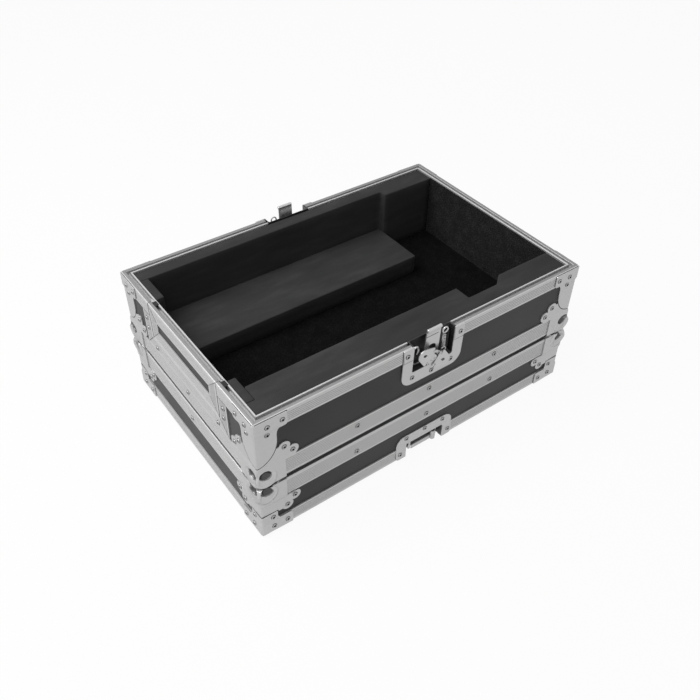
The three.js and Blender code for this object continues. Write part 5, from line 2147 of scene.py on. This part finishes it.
@dataclass
class Lining:
    """The foam that holds the mixer, and the felt on the right wall."""

    case: CaseFrame
    edge_round: float = 1.1
    spacing: float = 9.0
    wave: float = 0.22
    wave_length: float = 38.0
    wave_shift: float = 7.3
    strip_width: float = 24.5
    step_width: float = 49.5
    end_width: float = 39.0
    back_width: float = 33.0
    notch_end: float = 142.0
    pad_end: float = 91.0
    joint: float = 0.3
    felt: float = 0.9
    felt_step: float = 6.0
    felt_wave: float = 0.25
    felt_wave_length: float = 9.0

    def soft_block(self, node: str, plan: Sequence[Flat], low: float, high: float) -> None:
        """A block of cut foam: slightly uneven faces and softly rounded edges.

        Args:
            node: The node that it replaces.
            plan: Its plan, anticlockwise.
            low: Its foot above the floor.
            high: Its top.
        """
        plan, r, shape = self.resampled(plan), self.edge_round, Shape()
        count = max(int((high - low) / self.spacing), 2)
        foot, crown = (low, r * 0.6), (high, r)
        levels = [foot, (low + r, 0.0)]
        levels += [(low + r + (high - low - 2 * r) * k / count, 0.0) for k in range(1, count)]
        levels += [(high - r, 0.0), (high - r * 0.3, r * 0.3), crown]
        shape.loft([[(x, y, level) for x, y in self.inset(plan, inset)]
                    for level, inset in levels], capped=False)
        for level, inset in (foot, crown):
            spots, faces = filled([np.array(self.inset(plan, inset))], self.spacing)
            shape.add([(float(x), float(y), level) for x, y in spots], faces)
        shape.points = [self.waved(point) for point in shape.points]
        body = "lid" if node == "lid_foam" else "base"
        piece = shape.publish(node, body, "foam", [FOAM.material()], sharp=60.0)

    def waved(self, point: Point) -> Point:
        """Moves a point by a soft unevenness of the cut faces.

        Args:
            point: The point.

        Returns:
            The moved point.
        """
        spot = Vector(point) / self.wave_length
        shift = [self.wave * noise.noise(spot + Vector((k * self.wave_shift, 0.0, 0.0)))
                 for k in range(3)]
        return tuple(value + move for value, move in zip(point, shift))

    def resampled(self, plan: Sequence[Flat]) -> list[Flat]:
        """Spaces a plan's points evenly and softens its corners.

        Args:
            plan: The plan's corners.

        Returns:
            The new plan.
        """
        points: list[Flat] = []
        for (ax, ay), (bx, by) in zip(plan, [*plan[1:], plan[0]]):
            length = math.hypot(bx - ax, by - ay)
            cut = min(self.edge_round, length / 3) / length
            between = np.linspace(0, 1, max(int(length / self.spacing), 2) + 1)[1:-1]
            points += [(ax + (bx - ax) * s, ay + (by - ay) * s) for s in (cut, *between, 1 - cut)]
        return points

    @staticmethod
    def inset(plan: Sequence[Flat], distance: float) -> list[Flat]:
        """Draws a plan in.

        Args:
            plan: The plan.
            distance: How far.

        Returns:
            The smaller plan.
        """
        spots = np.array(plan)
        run = np.roll(spots, -1, axis=0) - np.roll(spots, 1, axis=0)
        run /= np.linalg.norm(run, axis=1)[:, None]
        return [(x - ry * distance, y + rx * distance) for (x, y), (rx, ry) in zip(spots, run)]

    def make(self) -> None:
        """Makes every foam block and the wall's felt."""
        names = ("foam_front", "foam_back", "foam_left_front", "foam_left_back", "foam_platform",
                 "lid_foam")
        boxes = {name: [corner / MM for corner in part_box(name)] for name in names}
        for name in names[2:]:
            low, high = boxes[name]
            plan = [(low.x, low.y), (high.x, low.y), (high.x, high.y), (low.x, high.y)]
            self.soft_block(name, plan, low.z, high.z)
        bed_low, bed_high = boxes["foam_platform"]
        wall = self.case.thickness - self.case.half_depth
        front, step = wall + self.strip_width, wall + self.step_width
        strip, inner = wall + self.end_width, -wall - self.back_width
        block, back = bed_high.x + self.joint, bed_high.y + self.joint
        low, high = boxes["foam_front"]
        self.soft_block("foam_front", [
            (low.x, low.y), (high.x, low.y), (high.x, strip), (block, strip),
            (self.notch_end, front), (self.pad_end, front), (self.pad_end, step),
            (bed_low.x, step), (bed_low.x, front), (low.x, front)], low.z, high.z)
        low, high = boxes["foam_back"]
        self.soft_block("foam_back", [
            (low.x, high.y), (low.x, back), (block, back), (block, inner), (high.x, inner),
            (high.x, high.y)], low.z, high.z)
        self.wall_felt([(strip, low.z), (inner, low.z), (inner, high.z), (strip, high.z)])

    def wall_felt(self, outline: Sequence[Flat]) -> None:
        """The felt glued to the right wall between the foams.

        Args:
            outline: Its outline along Y and above the floor.
        """
        face, size = self.case.half_length - self.case.thickness - self.felt, self.felt_wave_length
        shape = Shape()

        def height(u: float, v: float) -> float:
            """The felt's soft unevenness."""
            return self.felt_wave * noise.noise((u / size, v / size, 0.0)) - self.felt

        shape.sheet(outline, lambda u, v, n: (face - n, u, v), self.felt, self.felt_step, height)
        felt = shape.publish("wall_felt_right", "base", "foam", [FELT.material()], fine=False)


@dataclass
class Boards:
    """The panels of lid and base, which keep their solids and take their finishes."""

    floor: str = "base_floor_panel"

    def make(self, nodes: dict[str, bpy.types.Object]) -> None:
        """Dresses the board nodes.

        Args:
            nodes: The frame's nodes by name.
        """
        for name, node in nodes.items():
            if not name.endswith("_panel"):
                continue
            finish = INNER_BOARD if name == self.floor else LAMINATE
            node.data.materials.clear()
            node.data.materials.append(finish.material())
            LOG.info("%s: %s", name, finish.name)


@dataclass
class Studio:
    """The floor, the lamp, the world and the camera."""

    floor_half: float = 12.0
    floor_grey: float = 0.8
    floor_glow: float = 0.94
    sky: float = 0.26
    key_place: Point = (-1.05, 0.3, 1.9)
    key_size: float = 1.7
    key_power: float = 42.0
    camera_place: Point = (-536.35, -720.67, 862.84)
    azimuth: float = -36.574
    elevation: float = 41.855
    roll: float = 1.011
    lens: float = 41.03
    sensor: float = 36.0

    @staticmethod
    def link(name: str, data: bpy.types.ID) -> bpy.types.Object:
        """Adds an object to the scene.

        Args:
            name: Its name.
            data: Its mesh, lamp or camera.

        Returns:
            The object.
        """
        made = bpy.data.objects.new(name, data)
        bpy.context.scene.collection.objects.link(made)
        return made

    def seen(self, graph: Graph) -> Wire:
        """Whether a ray shows the background as it is.

        Args:
            graph: The graph of the floor or the world.

        Returns:
            One for camera, glossy and transmission rays, else zero.
        """
        rays = graph.node("ShaderNodeLightPath").outputs
        kinds = ("Is Camera Ray", "Is Glossy Ray", "Is Transmission Ray")
        total = reduce(add, [Wire(graph, rays[kind]) for kind in kinds])
        return total.join("MINIMUM", total, 1.0)

    def world(self) -> None:
        """A plain surround that is white where it is seen."""
        world = bpy.data.worlds.new("studio")
        bpy.context.scene.world = world
        world.use_nodes = True
        graph = Graph(world.node_tree)
        strength = self.seen(graph) * (1.0 - self.sky) + self.sky
        light = graph.node("ShaderNodeBackground", {}, {"Color": WHITE, "Strength": strength})
        graph.node("ShaderNodeOutputWorld", {}, {"Surface": light.outputs[0]})

    def floor(self) -> None:
        """A pale floor that shows white and keeps the case's shadow."""
        mesh = bpy.data.meshes.new("studio_floor")
        half, grey = self.floor_half, self.floor_grey
        mesh.from_pydata([(-half, -half, 0.0), (half, -half, 0.0), (half, half, 0.0),
                          (-half, half, 0.0)], [], [(0, 1, 2, 3)])
        self.link("studio_floor", mesh)
        material = bpy.data.materials.new("pale_floor")
        material.use_nodes = True
        graph = Graph(material.node_tree)
        matt = graph.node("ShaderNodeBsdfDiffuse", {}, {"Color": (grey, grey, grey, 1.0)})
        glow = graph.node("ShaderNodeEmission", {}, {"Color": WHITE, "Strength": 1.0})
        share = self.seen(graph) * self.floor_glow
        mixed = graph.node("ShaderNodeMixShader", {}, {
            0: share, 1: matt.outputs[0], 2: glow.outputs[0]})
        graph.node("ShaderNodeOutputMaterial", {}, {"Surface": mixed.outputs[0]})
        mesh.materials.append(material)

    def key(self) -> None:
        """A square soft lamp that points at the case."""
        data = bpy.data.lights.new("key", "AREA")
        data.size = self.key_size
        data.energy = self.key_power
        lamp = self.link("key", data)
        lamp.location = self.key_place
        lamp.rotation_euler = (-Vector(self.key_place)).to_track_quat("-Z", "Y").to_euler()

    def camera(self) -> None:
        """The camera at the photograph's angle."""
        data = bpy.data.cameras.new("camera")
        data.lens = self.lens
        data.sensor_width = self.sensor
        data.sensor_fit = "HORIZONTAL"
        azimuth, elevation, roll = map(math.radians, (self.azimuth, self.elevation, self.roll))
        back = Vector((math.sin(azimuth) * math.cos(elevation),
                       -math.cos(azimuth) * math.cos(elevation), math.sin(elevation)))
        right = Vector((0.0, 0.0, 1.0)).cross(back).normalized()
        up = back.cross(right)
        across = right * math.cos(roll) + up * math.sin(roll)
        upward = up * math.cos(roll) - right * math.sin(roll)
        turn = Matrix((across, upward, back)).transposed().to_4x4()
        camera = self.link("camera", data)
        camera.matrix_world = Matrix.Translation(Vector(self.camera_place) * MM) @ turn
        bpy.context.scene.camera = camera

    def make(self) -> None:
        """Makes the studio."""
        bpy.context.scene.view_settings.view_transform = "Standard"
        for build in (self.world, self.floor, self.key, self.camera):
            build()


def main() -> None:
    """Loads the frame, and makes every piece."""
    logging.basicConfig(level=logging.INFO, format="%(name)s: %(message)s")
    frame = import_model()
    case = CaseFrame.read()
    Studio().make()
    Boards().make(frame["nodes"])
    Profiles(case).make()
    CornerHardware(case).make()
    for side in (Side.FRONT, Side.BACK):
        Latch(case, side).make()
        LidCatch(case, side).make()
    Handle(case).make()
    Lining(case).make()
    Rivets(case).make()


if __name__ == "__main__":
    main()
